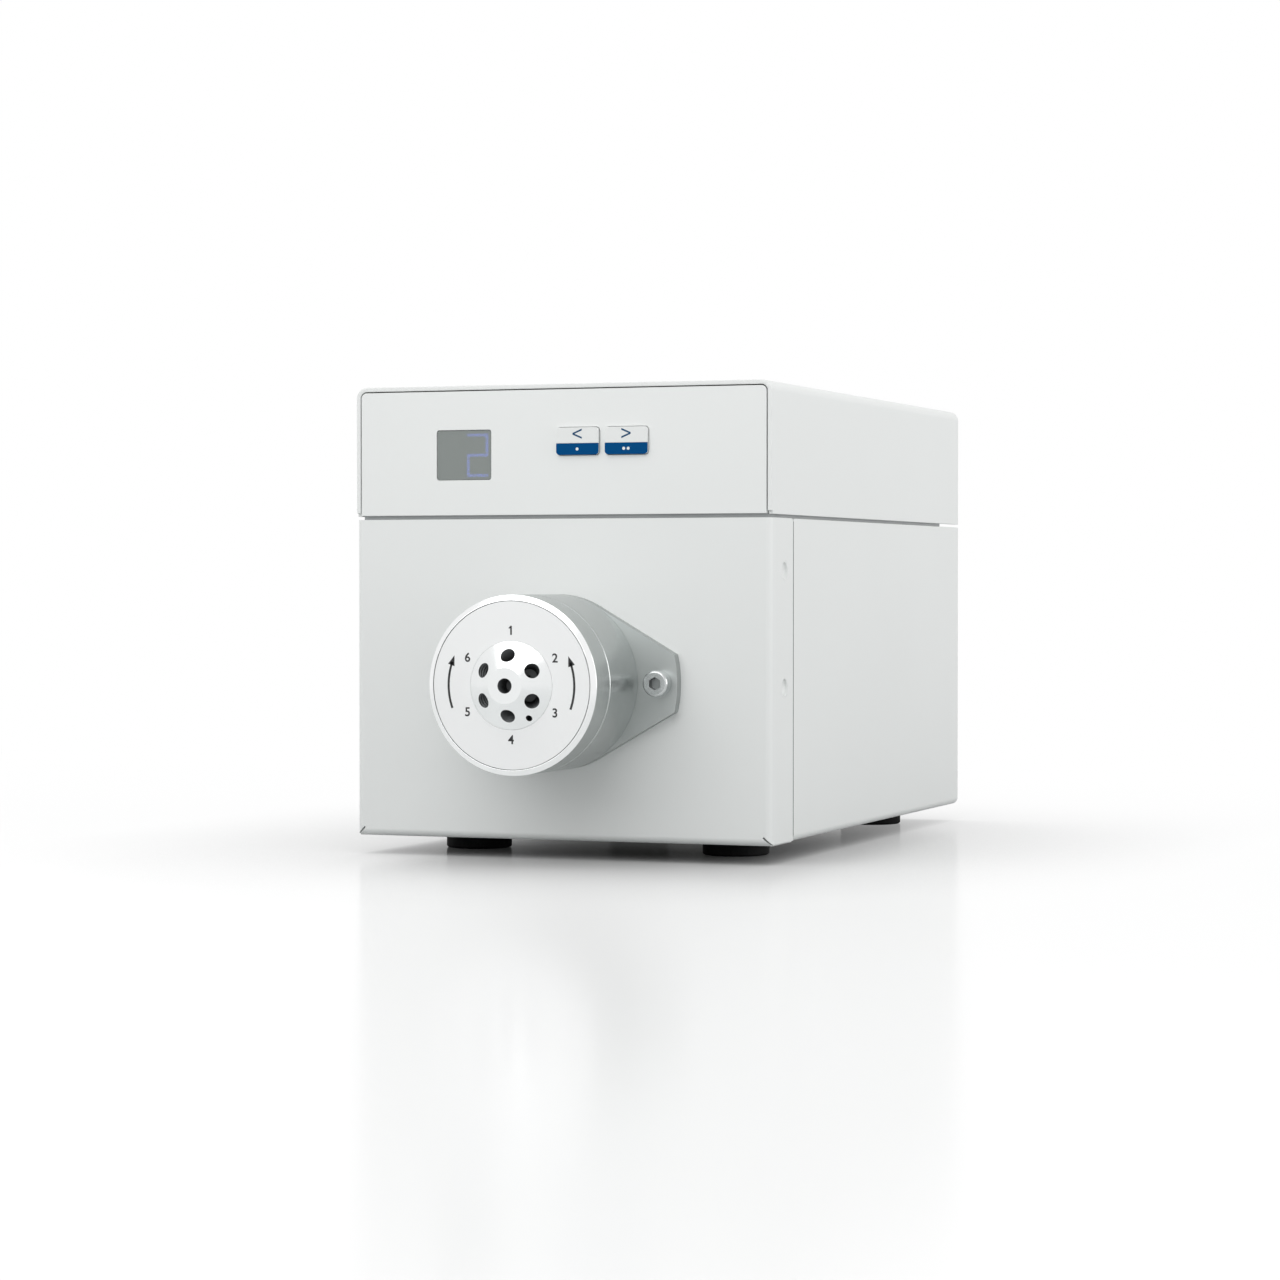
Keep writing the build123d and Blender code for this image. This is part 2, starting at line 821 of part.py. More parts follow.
def flange_screws():
    """Socket-head cap screws through the ears into the drive's front plate."""
    screws = []
    for x in flange_screw_places():
        head_front = flange_face - flange_screw_head_height
        head = rod_y(flange_screw_head_radius, head_front, flange_face, x, axis_height)
        head = chamfer(head.edges().group_by(Axis.Y)[0], flange_screw_head_height / 8)
        screw_end = flange_face + flange_screw_length
        screw = head + rod_y(flange_screw_radius, head_front + hex_depth, screw_end, x, axis_height)
        socket = Pos(x, axis_height) * RegularPolygon(hex_flats / sqrt(3), 6)
        screws.append(screw - sheet_y(socket, head_front - overcut, head_front + hex_depth))
    return screws


def body_screws():
    screw = countersunk_screw(body_screw_length)
    return [Pos(x, 0, z) * facing_back * screw for x, z in body_screw_places()]


def valve_body():
    """The turned rear body: spigot, stator seat, bearing bore, nut bore and pilot."""
    spigot_front = ring_joint - spigot_length
    seat = stator_flange_radius + snug_gap
    body = turned(
        (seat, spigot_front),
        (spigot_radius, spigot_front),
        (spigot_radius, ring_joint),
        (valve_radius, ring_joint),
        (valve_radius, flange_face),
        (pilot_radius, flange_face),
        (pilot_radius, pilot_reach),
        (nut_bore_radius, pilot_reach),
        (nut_bore_radius, nut_front),
        (rotor_bore_radius, nut_front),
        (rotor_bore_radius, seal_face),
        (seat, seal_face),
    )
    for x, z in body_screw_places():
        body -= rod_y(plate_screw_radius + assembly_gap, -body_screw_length - overcut, 0, x, z)
    return body


def clamp_ring():
    recess = dial_radius + dial_gap
    lip_bore = hub_radius + dial_gap
    return turned(
        (recess, dial_face),
        (valve_radius - ring_chamfer_width, dial_face),
        (valve_radius, dial_face + ring_chamfer),
        (valve_radius, ring_joint),
        (spigot_radius + running_gap, ring_joint),
        (spigot_radius + running_gap, ring_lip),
        (lip_bore, ring_lip),
        (lip_bore, dial_face + dial_thickness),
        (recess, dial_face + dial_thickness),
    )


def dial_plate():
    return ring_y(dial_radius, hub_radius + dial_gap / 2, dial_face, dial_face + dial_thickness)


def port_axis(index):
    """A frame at a port's mouth, with its Z axis pointing into the stator."""
    turn = upright - index * 360 / port_count
    mouth = Pos(port_ring_radius, port_mouth, 0) * facing_back * Rot(0, -cone_angle, 0)
    return Pos(0, 0, axis_height) * Rot(0, -turn, 0) * mouth


def stator():
    """The coned front piece: six ports square to the cone, and one on the axis."""
    piece = turned(
        (0, valve_nose),
        (hub_flat_radius, valve_nose),
        (hub_radius, dial_face),
        (hub_radius, ring_lip),
        (stator_flange_radius, ring_lip),
        (stator_flange_radius, seal_face),
        (0, seal_face),
    )
    run = (seal_face - port_mouth) / cos(radians(cone_angle))
    for index in range(port_count):
        mouth = port_axis(index)
        piece -= mouth * Pos(0, 0, (port_depth - overcut) / 2) * Cylinder(port_radius, port_depth + overcut)
        piece -= mouth * Pos(0, 0, (run + overcut) / 2) * Cylinder(passage_radius, run + overcut)
    piece -= rod_y(port_radius, valve_nose - overcut, valve_nose + port_depth, 0, axis_height)
    piece -= rod_y(passage_radius, valve_nose, seal_face + overcut, 0, axis_height)
    turn = radians(locating_hole_angle)
    hole_x = locating_hole_ring * cos(turn)
    hole_z = axis_height + locating_hole_ring * sin(turn)
    return piece - rod_y(locating_hole_radius, valve_nose, dial_face + locating_hole_depth, hole_x, hole_z)


def rotor_seal():
    """The disc whose three grooves join neighbouring ports in pairs."""
    front = seal_face + face_gap
    disc = rod_y(rotor_seal_radius, front, shaft_seat, 0, axis_height)
    step = 360 / port_count
    for index in range(port_count // 2):
        start = upright - step - 2 * index * step
        groove = SlotArc(CenterArc((0, 0), passage_ring, start, step), rotor_groove_width)
        disc -= sheet_y(Pos(0, axis_height) * groove, front - overcut, front + rotor_groove_depth)
    for x, z in rotor_pin_places():
        disc -= rod_y(rotor_pin_radius + assembly_gap, front, shaft_seat + overcut, x, z)
    return disc


def rotor_pin_places():
    for index in range(rotor_pin_count):
        angle = radians(upright / 3 + 360 * index / rotor_pin_count)
        yield rotor_pin_ring * cos(angle), axis_height + rotor_pin_ring * sin(angle)


def shaft_pins():
    """Three pins that drive the rotor seal, and the cross pin in the shaft's tail."""
    pins = []
    for x, z in rotor_pin_places():
        half = rotor_pin_length / 2
        pins.append(rod_y(rotor_pin_radius, shaft_seat - half, shaft_seat + half, x, z))
    edge = cross_pin_length / 2
    pins.append(rod_x(cross_pin_radius, -edge, edge, cross_pin_place, axis_height))
    return pins


def valve_shaft():
    shaft = turned(
        (0, shaft_seat),
        (shaft_flange_radius, shaft_seat),
        (shaft_flange_radius, shaft_shoulder),
        (valve_shaft_radius, shaft_shoulder),
        (valve_shaft_radius, shaft_meeting),
        (0, shaft_meeting),
    )
    for x, z in rotor_pin_places():
        pin_end = shaft_seat + rotor_pin_length / 2 + assembly_gap
        shaft -= rod_y(rotor_pin_radius + assembly_gap, shaft_seat - overcut, pin_end, x, z)
    edge = cross_pin_length / 2
    return shaft - rod_x(cross_pin_radius + assembly_gap, -edge, edge, cross_pin_place, axis_height)


def thrust_bearing():
    outer = rotor_bore_radius - snug_gap
    inner = valve_shaft_radius + spring_bore_gap
    rings = []
    front = thrust_front
    for thickness in (thrust_washer_thickness, thrust_cage_thickness, thrust_washer_thickness):
        rings.append(ring_y(outer, inner, front, front + thickness))
        front += thickness
    return rings


def spring_washers():
    """Coned spring washers stacked in opposed pairs."""
    outer = rotor_bore_radius - snug_gap
    inner = valve_shaft_radius + spring_bore_gap
    step = spring_thickness + spring_cone
    washers = []
    for index in range(spring_count):
        front = springs_front + index * step
        at_inner = 0 if index % 2 == 0 else spring_cone
        at_outer = spring_cone - at_inner
        washers.append(
            turned(
                (inner, front + at_inner),
                (outer, front + at_outer),
                (outer, front + at_outer + spring_thickness),
                (inner, front + at_inner + spring_thickness),
            )
        )
    return washers


def preload_nut():
    back = nut_front + preload_nut_length
    nut = ring_y(nut_bore_radius - running_gap, valve_shaft_radius + running_gap, nut_front, back)
    slot = preload_nut_slot / 2
    low = axis_height - slot
    high = axis_height + slot
    return nut - block(-nut_bore_radius, nut_bore_radius, back - slot, back + overcut, low, high)


# ---- drive -----------------------------------------------------------------------------
def involute(base, radius):
    """The angle, in radians, that an involute has turned where it meets a radius."""
    roll = acos(min(1.0, base / radius))
    return tan(roll) - roll


def gear_outline(teeth, first_angle):
    """A spur gear's outline, with involute flanks, about the origin."""
    pitch = gear_module * teeth / 2
    base = pitch * cos(radians(pressure_angle))
    tip = pitch + tooth_height_share * gear_module
    root = pitch - tooth_root_share * gear_module
    half_tooth = (pi * gear_module / 2 - backlash) / (2 * pitch)
    start = max(base, root)
    radii = [start, (start + pitch) / 2, pitch, (pitch + tip) / 2, tip]
    flank = [(radius, half_tooth + involute(base, pitch) - involute(base, radius)) for radius in radii]
    if root < base:
        flank = [(root, flank[0][1])] + flank
    points = []
    for tooth in range(teeth):
        centre = radians(first_angle) + 2 * pi * tooth / teeth
        right = [(radius, centre - turn) for radius, turn in flank]
        left = [(radius, centre + turn) for radius, turn in reversed(flank)]
        points += [(radius * cos(angle), radius * sin(angle)) for radius, angle in right + left]
    return make_face(Polyline(*points, close=True))


def plate_outline():
    low = axis_height - plate_drop
    return rounded(-plate_width / 2, plate_width / 2, low, motor_height + plate_rise, plate_corner)


def plate_spacer_places():
    x = plate_width / 2 - spacer_inset
    low = axis_height - plate_drop + spacer_inset
    high = motor_height + plate_rise - spacer_inset
    return [(-x, low), (x, low), (-x, high), (x, high)]


def plate_countersink():
    return countersunk_screw(front_plate_thickness + spacer_screw_grip, assembly_gap)


def drive_front_plate():
    outline = plate_outline() - Pos(0, axis_height) * Circle(bush_radius + assembly_gap)
    plate = sheet_y(outline, plates_front, front_plate_back)
    for x in flange_screw_places():
        plate -= rod_y(flange_screw_radius + assembly_gap, 0, front_plate_back + overcut, x, axis_height)
    for x, z in plate_spacer_places():
        plate -= Pos(x, plates_front, z) * facing_front * plate_countersink()
    return plate


def motor_plate():
    outline = plate_outline() - Pos(0, axis_height) * Circle(bush_radius + assembly_gap)
    outline -= Pos(0, motor_height) * Circle(motor_boss_radius + snug_gap)
    plate = sheet_y(outline, rear_plate_front, rear_plate_back)
    for x, z in plate_spacer_places():
        plate -= Pos(x, rear_plate_back, z) * facing_back * plate_countersink()
    for x, z in motor_screw_places():
        plate -= Pos(x, rear_plate_front, z) * facing_front * plate_countersink()
    return plate


def plate_spacers():
    spacers = []
    for x, z in plate_spacer_places():
        spacer = rod_y(spacer_radius, front_plate_back, rear_plate_front, x, z)
        spacers.append(spacer - rod_y(plate_screw_radius + assembly_gap, 0, rear_plate_back, x, z))
    return spacers


def plate_screws():
    front = countersunk_screw(front_plate_thickness + spacer_screw_grip)
    rear = countersunk_screw(rear_plate_thickness + spacer_screw_grip)
    screws = [Pos(x, plates_front, z) * facing_front * front for x, z in plate_spacer_places()]
    return screws + [Pos(x, rear_plate_back, z) * facing_back * rear for x, z in plate_spacer_places()]


def drive_bushes():
    """Flanged bushes that carry the drive shaft in both plates."""
    inner = drive_shaft_radius + running_gap
    front_face = front_plate_back + bush_flange_thickness
    front = turned(
        (inner, plates_front),
        (bush_radius, plates_front),
        (bush_radius, front_plate_back),
        (bush_flange_radius, front_plate_back),
        (bush_flange_radius, front_face),
        (inner, front_face),
    )
    rear_face = rear_plate_front - bush_flange_thickness
    rear = turned(
        (inner, rear_face),
        (bush_flange_radius, rear_face),
        (bush_flange_radius, rear_plate_front),
        (bush_radius, rear_plate_front),
        (bush_radius, rear_plate_back),
        (inner, rear_plate_back),
    )
    return [front, rear]


def drive_coupling():
    """The slotted sleeve on the drive shaft that takes the cross pin."""
    sleeve = ring_y(coupling_radius, drive_shaft_radius + assembly_gap, coupling_front, coupling_back)
    slot_back = cross_pin_place + cross_pin_radius + assembly_gap
    half = coupling_slot / 2
    edge = coupling_radius + overcut
    low = axis_height - half
    high = axis_height + half
    return sleeve - block(-edge, edge, coupling_front - overcut, slot_back, low, high)


def drive_shaft():
    shaft = rod_y(drive_shaft_radius, shaft_meeting + fit_gap, shaft_back, 0, axis_height)
    return chamfer(shaft.edges().group_by(Axis.Y)[-1], fit_gap)


def drive_gear():
    """The large gear, with its web, hub, seat for the encoder disc and lightening holes."""
    teeth = gear_outline(gear_teeth, upright)
    gear = sheet_y(Pos(0, axis_height) * teeth, gear_front, gear_back)
    root = gear_radius - tooth_root_share * gear_module
    web_edge = root - gear_rim
    web_cut = (gear_width - gear_web_thickness) / 2
    gear -= ring_y(web_edge, gear_hub_radius, gear_front - overcut, gear_front + web_cut)
    gear -= ring_y(web_edge, gear_hub_radius, gear_back - web_cut, gear_back + overcut)
    hole_ring = (web_edge + gear_hub_radius) / 2
    for index in range(gear_hole_count):
        angle = radians(upright / 3 + 360 * index / gear_hole_count)
        x = hole_ring * cos(angle)
        z = axis_height + hole_ring * sin(angle)
        gear -= rod_y(gear_hole_radius, gear_front, gear_back, x, z)
    seat_front = front_plate_back + bush_flange_thickness + running_gap
    gear += turned(
        (0, seat_front),
        (encoder_seat_radius, seat_front),
        (encoder_seat_radius, encoder_back),
        (gear_hub_radius, encoder_back),
        (gear_hub_radius, gear_front),
        (0, gear_front),
    )
    bore = drive_shaft_radius + assembly_gap
    return gear - rod_y(bore, seat_front - overcut, gear_back + overcut, 0, axis_height)


def encoder_disc():
    outline = Circle(encoder_radius) - Circle(encoder_seat_radius + assembly_gap)
    slot_ring = encoder_radius - encoder_slot_length / 2 - encoder_slot_edge
    for index in range(encoder_slots):
        angle = upright + 360 * index / encoder_slots
        slot = Pos(slot_ring, 0) * Rectangle(encoder_slot_length, encoder_slot_width)
        outline -= Rot(0, 0, angle) * slot
    return sheet_y(Pos(0, axis_height) * outline, encoder_front, encoder_back)


def position_sensor():
    """A fork that the disc's edge runs through, on the back of the front plate."""
    edge = sensor_width / 2
    disc_edge = axis_height - encoder_radius
    back = front_plate_back + 2 * sensor_wall + sensor_slot
    fork = block(-edge, edge, front_plate_back, back, disc_edge - sensor_below, disc_edge + sensor_overlap)
    slot_front = front_plate_back + sensor_wall
    slot_back = slot_front + sensor_slot
    slot_low = disc_edge - 2 * fit_gap
    slot_high = disc_edge + sensor_overlap + overcut
    return fork - block(-edge - overcut, edge + overcut, slot_front, slot_back, slot_low, slot_high)


def motor_outline(size):
    square = Pos(0, motor_height) * Rectangle(size, size)
    return chamfer(square.vertices(), motor_corner)


def motor_screw_places():
    half = motor_screw_pitch / 2
    return [(x, motor_height + z) for x in (-half, half) for z in (-half, half)]


def motor_bore():
    bore_back = motor_stack_back + motor_cap_length / 2
    return rod_y(motor_shaft_radius + running_gap, 0, bore_back, 0, motor_height)


def motor_caps():
    front = sheet_y(motor_outline(motor_size), motor_front, motor_stack_front)
    front += rod_y(motor_boss_radius, motor_front - motor_boss_height, motor_front, 0, motor_height)
    for x, z in motor_screw_places():
        front -= rod_y(plate_screw_radius + assembly_gap, 0, motor_front + spacer_screw_grip + overcut, x, z)
    rear = sheet_y(motor_outline(motor_size), motor_stack_back, motor_back)
    return [front - motor_bore(), rear - motor_bore()]


def motor_stack():
    outline = motor_outline(motor_size - 2 * motor_stack_inset)
    return sheet_y(outline, motor_stack_front, motor_stack_back) - motor_bore()


def motor_shaft():
    front = pinion_front - fit_gap
    back = motor_stack_back + motor_cap_length / 2 - fit_gap
    return rod_y(motor_shaft_radius, front, back, 0, motor_height)


def motor_pinion():
    half_step = 180 / pinion_teeth
    outline = gear_outline(pinion_teeth, half_step - upright) - Circle(motor_shaft_radius + assembly_gap)
    return sheet_y(Pos(0, motor_height) * outline, pinion_front, pinion_back)


def motor_screws():
    screw = countersunk_screw(rear_plate_thickness + spacer_screw_grip)
    return [Pos(x, rear_plate_front, z) * facing_front * screw for x, z in motor_screw_places()]


# ---- electronics -----------------------------------------------------------------------
def board_screw_places():
    x = board_edge - board_screw_edge
    rows = (board_front + board_screw_edge, board_back - board_screw_rear)
    return [(side * x, y) for side in (-1, 1) for y in rows]


def main_board():
    board = block(-board_edge, board_edge, board_front, board_back, board_low, board_top)
    for x, y in board_screw_places():
        board -= rod_z(small_screw_radius + snug_gap, board_low - overcut, board_top + overcut, x, y)
    return board


def board_standoffs():
    pillars = []
    for x, y in board_screw_places():
        pillar = rod_z(keypad_spacer_radius, chassis_floor, board_low, x, y)
        hole_low = board_low - board_screw_length
        pillars.append(pillar - rod_z(small_screw_radius + assembly_gap, hole_low, board_low, x, y))
    return pillars


def board_screws():
    """Identical screws that hold the keypad board and the main board."""
    screw = pan_screw(board_screw_length)
    screws = [Pos(x, keypad_board_back, z) * facing_back * screw for x, z in spacer_places()]
    return screws + [Pos(x, y, board_top) * screw for x, y in board_screw_places()]


def board_chips():
    chips = []
    for column in (-1, 0):
        for row in range(2):
            x = column * chip_pitch
            y = board_front + chip_setback + row * chip_pitch
            half = chip_size / 2
            chip = block(x - half, x + half, y - half, y + half, board_top, board_top + chip_height)
            chips.append(chamfer(chip.edges().group_by(Axis.Z)[-1], chip_height / 6))
    return chips


def capacitors():
    cans = []
    for index in range(capacitor_count):
        y = board_front + chip_setback + index * capacitor_pitch
        can = rod_z(capacitor_radius, board_top, board_top + capacitor_height, ribbon_place, y)
        cans.append(fillet(can.edges().group_by(Axis.Z)[-1], capacitor_radius / 8))
    return cans


ribbon_drop = board_front + header_width
cable_drop_place = motor_back + cable_setback
cable_start = motor_height - cable_drop


def board_headers():
    """The ribbon's two headers and the motor cable's header."""
    half = header_length / 2
    thick = header_width / 2
    keypad_end = block(
        ribbon_place - half,
        ribbon_place + half,
        keypad_board_back,
        keypad_header_back,
        fascia_middle - thick,
        fascia_middle + thick,
    )
    ends = [keypad_end]
    for x, y in ((ribbon_place, ribbon_drop), (cable_place, cable_drop_place)):
        ends.append(block(x - half, x + half, y - thick, y + thick, board_top, header_top))
    return ends


def bent_cable(section, x, front, high, back, low, bend):
    """A cable that runs back from one header and turns down into another."""
    path = FilletPolyline((x, front, high), (x, back, high), (x, back, low), radius=bend)
    return sweep(Plane(origin=(x, front, high), x_dir=(1, 0, 0), z_dir=(0, 1, 0)) * section, path=path)


def ribbon_cable():
    section = Rectangle(ribbon_width, ribbon_thickness)
    return bent_cable(
        section, ribbon_place, keypad_header_back, fascia_middle, ribbon_drop, header_top, ribbon_bend
    )


def motor_cable():
    section = Circle(cable_radius)
    return bent_cable(section, cable_place, motor_back, cable_start, cable_drop_place, header_top, cable_bend)


def power_jack():
    front = connector_back - jack_depth
    left = jack_place - jack_width / 2
    body = block(left, left + jack_width, front, connector_back, board_top, board_top + jack_height)
    z = board_top + jack_height / 2
    bore_front = connector_back - jack_bore_depth
    body -= rod_y(jack_bore_radius, bore_front, connector_back + overcut, jack_place, z)
    return body + rod_y(jack_pin_radius, bore_front - overcut, connector_back - overcut, jack_place, z)


def terminal_block():
    half = terminal_count * terminal_pitch / 2
    left = terminal_place - half
    front = connector_back - terminal_depth
    body = block(left, left + 2 * half, front, connector_back, board_top, board_top + terminal_height)
    for index in range(terminal_count):
        x = left + (index + 0.5) * terminal_pitch
        edge = terminal_hole / 2
        z = board_top + terminal_height / 3
        hole_front = connector_back - terminal_depth / 2
        body -= block(x - edge, x + edge, hole_front, connector_back + overcut, z - edge, z + edge)
    return body


def serial_outline(grow):
    """The connector's D shape: wider along its top than along its bottom."""
    top = serial_shell_width / 2 + grow
    bottom = top - serial_shell_height * tan(radians(serial_shell_taper))
    half = serial_shell_height / 2 + grow
    face = make_face(Polyline((-bottom, -half), (bottom, -half), (top, half), (-top, half), close=True))
    return fillet(face.vertices(), serial_shell_height / 4)


def serial_port():
    place = Pos(serial_place, serial_height)
    flange_back = rear_plane + serial_flange_thickness
    flange = RectangleRounded(serial_flange_width, serial_flange_height, serial_flange_height / 6)
    for side in (-1, 1):
        flange -= Pos(side * serial_screw_spread / 2, 0) * Circle(jackscrew_hole)
    body = sheet_y(place * flange, rear_plane, flange_back)
    shell_back = flange_back + serial_shell_depth
    body += sheet_y(place * serial_outline(0), rear_plane - serial_body_depth, shell_back)
    pin_pitch = serial_shell_width / 6
    for row, count in ((-1, 4), (1, 5)):
        for index in range(count):
            x = serial_place + (index - (count - 1) / 2) * pin_pitch
            z = serial_height + row * pin_pitch / 2
            body -= rod_y(terminal_hole / 4, flange_back, shell_back + overcut, x, z)
    pieces = [body]
    for side in (-1, 1):
        x = serial_place + side * serial_screw_spread / 2
        hexagon = Pos(x, serial_height) * RegularPolygon(jackscrew_flats / sqrt(3), 6)
        screw = sheet_y(hexagon, flange_back, flange_back + jackscrew_length)
        shank_front = rear_inside - jackscrew_length / 2
        shank = rod_y(jackscrew_hole - snug_gap, shank_front, flange_back, x, serial_height)
        pieces.append(screw + shank)
    return pieces


# ---- build -----------------------------------------------------------------------------
os.makedirs("parts", exist_ok=True)

save("front_panel", front_panel())
save("side_rivets", *side_rivets())
save("base_tray", base_tray())
save("chassis", chassis())
save("rear_panel", rear_panel())
save("hood", hood())
save("hood_screws", *hood_screws())
save("feet", *feet())
save("foot_fasteners", *foot_fasteners())

save("fascia", fascia())
save("fascia_nuts", *fascia_nuts())
save("display_window", display_window())
save("display_module", display_module())
save("display_digit", display_digit())
for name, left in zip(("left", "right"), key_places):
    save(f"{name}_key", key(left))
    save(f"{name}_key_band", key_band(left))
save("tact_switches", *tact_switches())
save("keypad_board", keypad_board())
save("keypad_spacers", *keypad_spacers())

save("flange_plate", flange_plate())
save("flange_screws", *flange_screws())
save("valve_body", valve_body())
save("body_screws", *body_screws())
save("clamp_ring", clamp_ring())
save("dial_plate", dial_plate())
save("stator", stator())
save("rotor_seal", rotor_seal())
save("shaft_pins", *shaft_pins())
save("valve_shaft", valve_shaft())
save("thrust_bearing", *thrust_bearing())
save("spring_washers", *spring_washers())
save("preload_nut", preload_nut())

save("drive_front_plate", drive_front_plate())
save("plate_spacers", *plate_spacers())
save("plate_screws", *plate_screws())
save("motor_plate", motor_plate())
save("drive_bushes", *drive_bushes())
save("drive_coupling", drive_coupling())
save("drive_shaft", drive_shaft())
save("drive_gear", drive_gear())
save("encoder_disc", encoder_disc())
save("position_sensor", position_sensor())
save("motor_caps", *motor_caps())
save("motor_stack", motor_stack())
save("motor_shaft", motor_shaft())
save("motor_pinion", motor_pinion())
save("motor_screws", *motor_screws())

save("main_board", main_board())
save("board_standoffs", *board_standoffs())
save("board_screws", *board_screws())
save("board_chips", *board_chips())
save("capacitors", *capacitors())
save("board_headers", *board_headers())
save("ribbon_cable", ribbon_cable())
save("motor_cable", motor_cable())
save("power_jack", power_jack())
save("terminal_block", terminal_block())
save("serial_port", *serial_port())
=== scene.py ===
import json
import math

import bpy
from mathutils import Matrix, Vector


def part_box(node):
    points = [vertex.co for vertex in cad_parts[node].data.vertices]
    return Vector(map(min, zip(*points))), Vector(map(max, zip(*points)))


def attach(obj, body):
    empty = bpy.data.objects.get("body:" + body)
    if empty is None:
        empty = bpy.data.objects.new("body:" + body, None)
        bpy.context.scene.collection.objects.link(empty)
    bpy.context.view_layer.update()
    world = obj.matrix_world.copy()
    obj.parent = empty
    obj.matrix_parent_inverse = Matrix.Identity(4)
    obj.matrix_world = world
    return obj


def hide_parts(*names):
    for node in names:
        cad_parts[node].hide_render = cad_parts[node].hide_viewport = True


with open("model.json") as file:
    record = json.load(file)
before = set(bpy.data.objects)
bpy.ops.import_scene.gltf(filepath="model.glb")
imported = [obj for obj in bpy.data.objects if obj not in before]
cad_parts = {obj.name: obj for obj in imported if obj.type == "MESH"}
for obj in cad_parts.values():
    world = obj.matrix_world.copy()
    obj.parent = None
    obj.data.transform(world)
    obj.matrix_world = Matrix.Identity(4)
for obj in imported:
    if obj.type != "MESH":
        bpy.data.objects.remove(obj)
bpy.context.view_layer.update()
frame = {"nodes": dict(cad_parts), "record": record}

# Sizes are in millimetres, and MM turns them to metres. Each y is counted back from the
# face of the front panel, as in the part's own drawings.
MM = 0.001
PANEL_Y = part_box("front_panel")[0].y / MM
# Places nearer than TOUCH are one place, and a cutter reaches CLEAR past what it cuts.
TOUCH = 0.01
CLEAR = 1.0

HALF_WIDTH = 60.5
BODY_BACK = 187.0
FOOT_HEIGHT = 5.2
LOWER_TOP = 92.5
HOOD_LOW = 93.4
HOOD_TOP = 129.0
HOOD_SHEET = 1.2
HOOD_BEND = 3.0
HOOD_NOTCH = 0.9
HOOD_TAB_PLACE = 36.0
HOOD_TAB_WIDTH = 14.0
HOOD_TAB_LOW = 118.8
HOOD_TAB_CORNER = 3.0
HOOD_CEILING = 127.8
REAR_PLANE = 170.4
PANEL_SHEET = 1.5
PANEL_BEND = 2.0
PANEL_FLANGE = 18.3
TRAY_FRONT = 18.6
SEAM_CORNER = 1.2
CORNER_SLIT = 0.5
SLIT_REACH = 3.4
PAINTED_EDGE = 0.22

RIVET_RADIUS = 2.75
RIVET_PLAY = 0.02
RIVET_Y = 10.8
RIVET_HEIGHTS = (47.1, 78.4)
RIVET_EDGE = 0.06
# The dish: how far in from the rivet's edge, and how far down, each of its steps lies.
RIVET_BOWL = ((0.4, 0), (0.6, 0.6), (1.2, 0.95))
RIVET_DISH = 1.1
RIVET_DISH_FLOOR = 0.3

FOOT_RADIUS = 9.25
FOOT_ROUND = 0.6
FOOT_ROUND_MIDDLE = (0.2, 0.25)
FOOT_BORE = 1.6
FOOT_RECESS = 3.4
FOOT_RECESS_TOP = 2.8
FOOT_EDGE = 0.15
FOOT_X = 38.6
FOOT_YS = (34.8, 164.2)

FASCIA_HALF = 59.0
FASCIA_LOW = 93.6
FASCIA_TOP = 127.5
FASCIA_SHEET = 2.0
FASCIA_CORNER = 1.5
FASCIA_EDGE = 0.12
STUD_X = 53.0
STUD_HEIGHTS = (99.6, 120.1)
STUD_RADIUS = 1.5
STUD_END = 9.0
STUD_EDGE = 0.2

WINDOW_LEFT = -36.3
WINDOW_RIGHT = -20.1
WINDOW_LOW = 103.2
WINDOW_TOP = 116.9
WINDOW_CORNER = 0.7
WINDOW_RECESS = 0.2
WINDOW_LIP = 1.5
WINDOW_LIP_BACK = 2.8
WINDOW_EDGE = 0.08
SNUG = 0.1

KEY_LEFTS = {"left": -0.7, "right": 13.4}
KEY_WIDTH = 12.3
KEY_LOW = 109.7
KEY_TOP = 117.1
KEY_BAND_TOP = 112.8
KEY_CORNER = 1.0
KEY_STAND = 0.8
KEY_GAP = 0.15
KEY_BAND_SHEET = 0.3
KEY_LIP = 0.6
KEY_LIP_FRONT = 2.1
KEY_LIP_BACK = 2.7
KEY_STEM_RADIUS = 1.6
KEY_STEM_BACK = 5.8
KEY_MARK_HEIGHT = 4.1
KEY_MARK_Z = 115.05
KEY_DOT_RADIUS = 0.42
KEY_DOT_PITCH = 1.3
KEY_EDGE = 0.16
KEY_BAND_EDGE = 0.08
KEY_LIP_EDGE = 0.08
KEY_STEM_EDGE = 0.15

# The valve head, turned about an axis along Y.
AXIS_Z = 48.3
VALVE_RADIUS = 23.75
FLANGE_FACE = -3.0
FLANGE_END = 35.0
FLANGE_SLOPE = 30.0
FLANGE_EDGE = 0.5
FLANGE_SCREW_X = 30.0
SCREW_HOLE = 2.3
SCREW_RADIUS = 2.0
SCREW_END = 7.0
SCREW_POINT = 0.3
SCREW_HEAD_RADIUS = 3.5
SCREW_HEAD_HEIGHT = 4.0
SCREW_HEAD_CHAMFER = 0.45
SCREW_EDGE = 0.12
SOCKET_RADIUS = 1.73
SOCKET_DEPTH = 2.0
PILOT_RADIUS = 12.4
PILOT_BACK = 1.0
RING_JOINT = -23.6
DIAL_FACE = -34.0
VALVE_NOSE = -38.4
RING_LIP = -29.8
SEAL_FACE = -25.8
NUT_FRONT = -8.5
DIAL_RADIUS = 22.05
DIAL_SHEET = 0.8
HUB_RADIUS = 11.6
HUB_FLAT = 4.75
STATOR_FLANGE = 17.5
STATOR_SEAT = 17.6
SPIGOT_RADIUS = 21.3
SPIGOT_GAP = 0.2
ROTOR_BORE = 7.8
NUT_BORE = 9.0
RING_RECESS = 22.25
RING_LIP_BORE = 11.8
RUNNING_FIT = 0.05
JOINT_CHAMFER = 0.4
RING_CHAMFER = 0.9
RING_CHAMFER_WIDTH = 1.35
BODY_EDGE = 0.08
RING_EDGE = 0.12
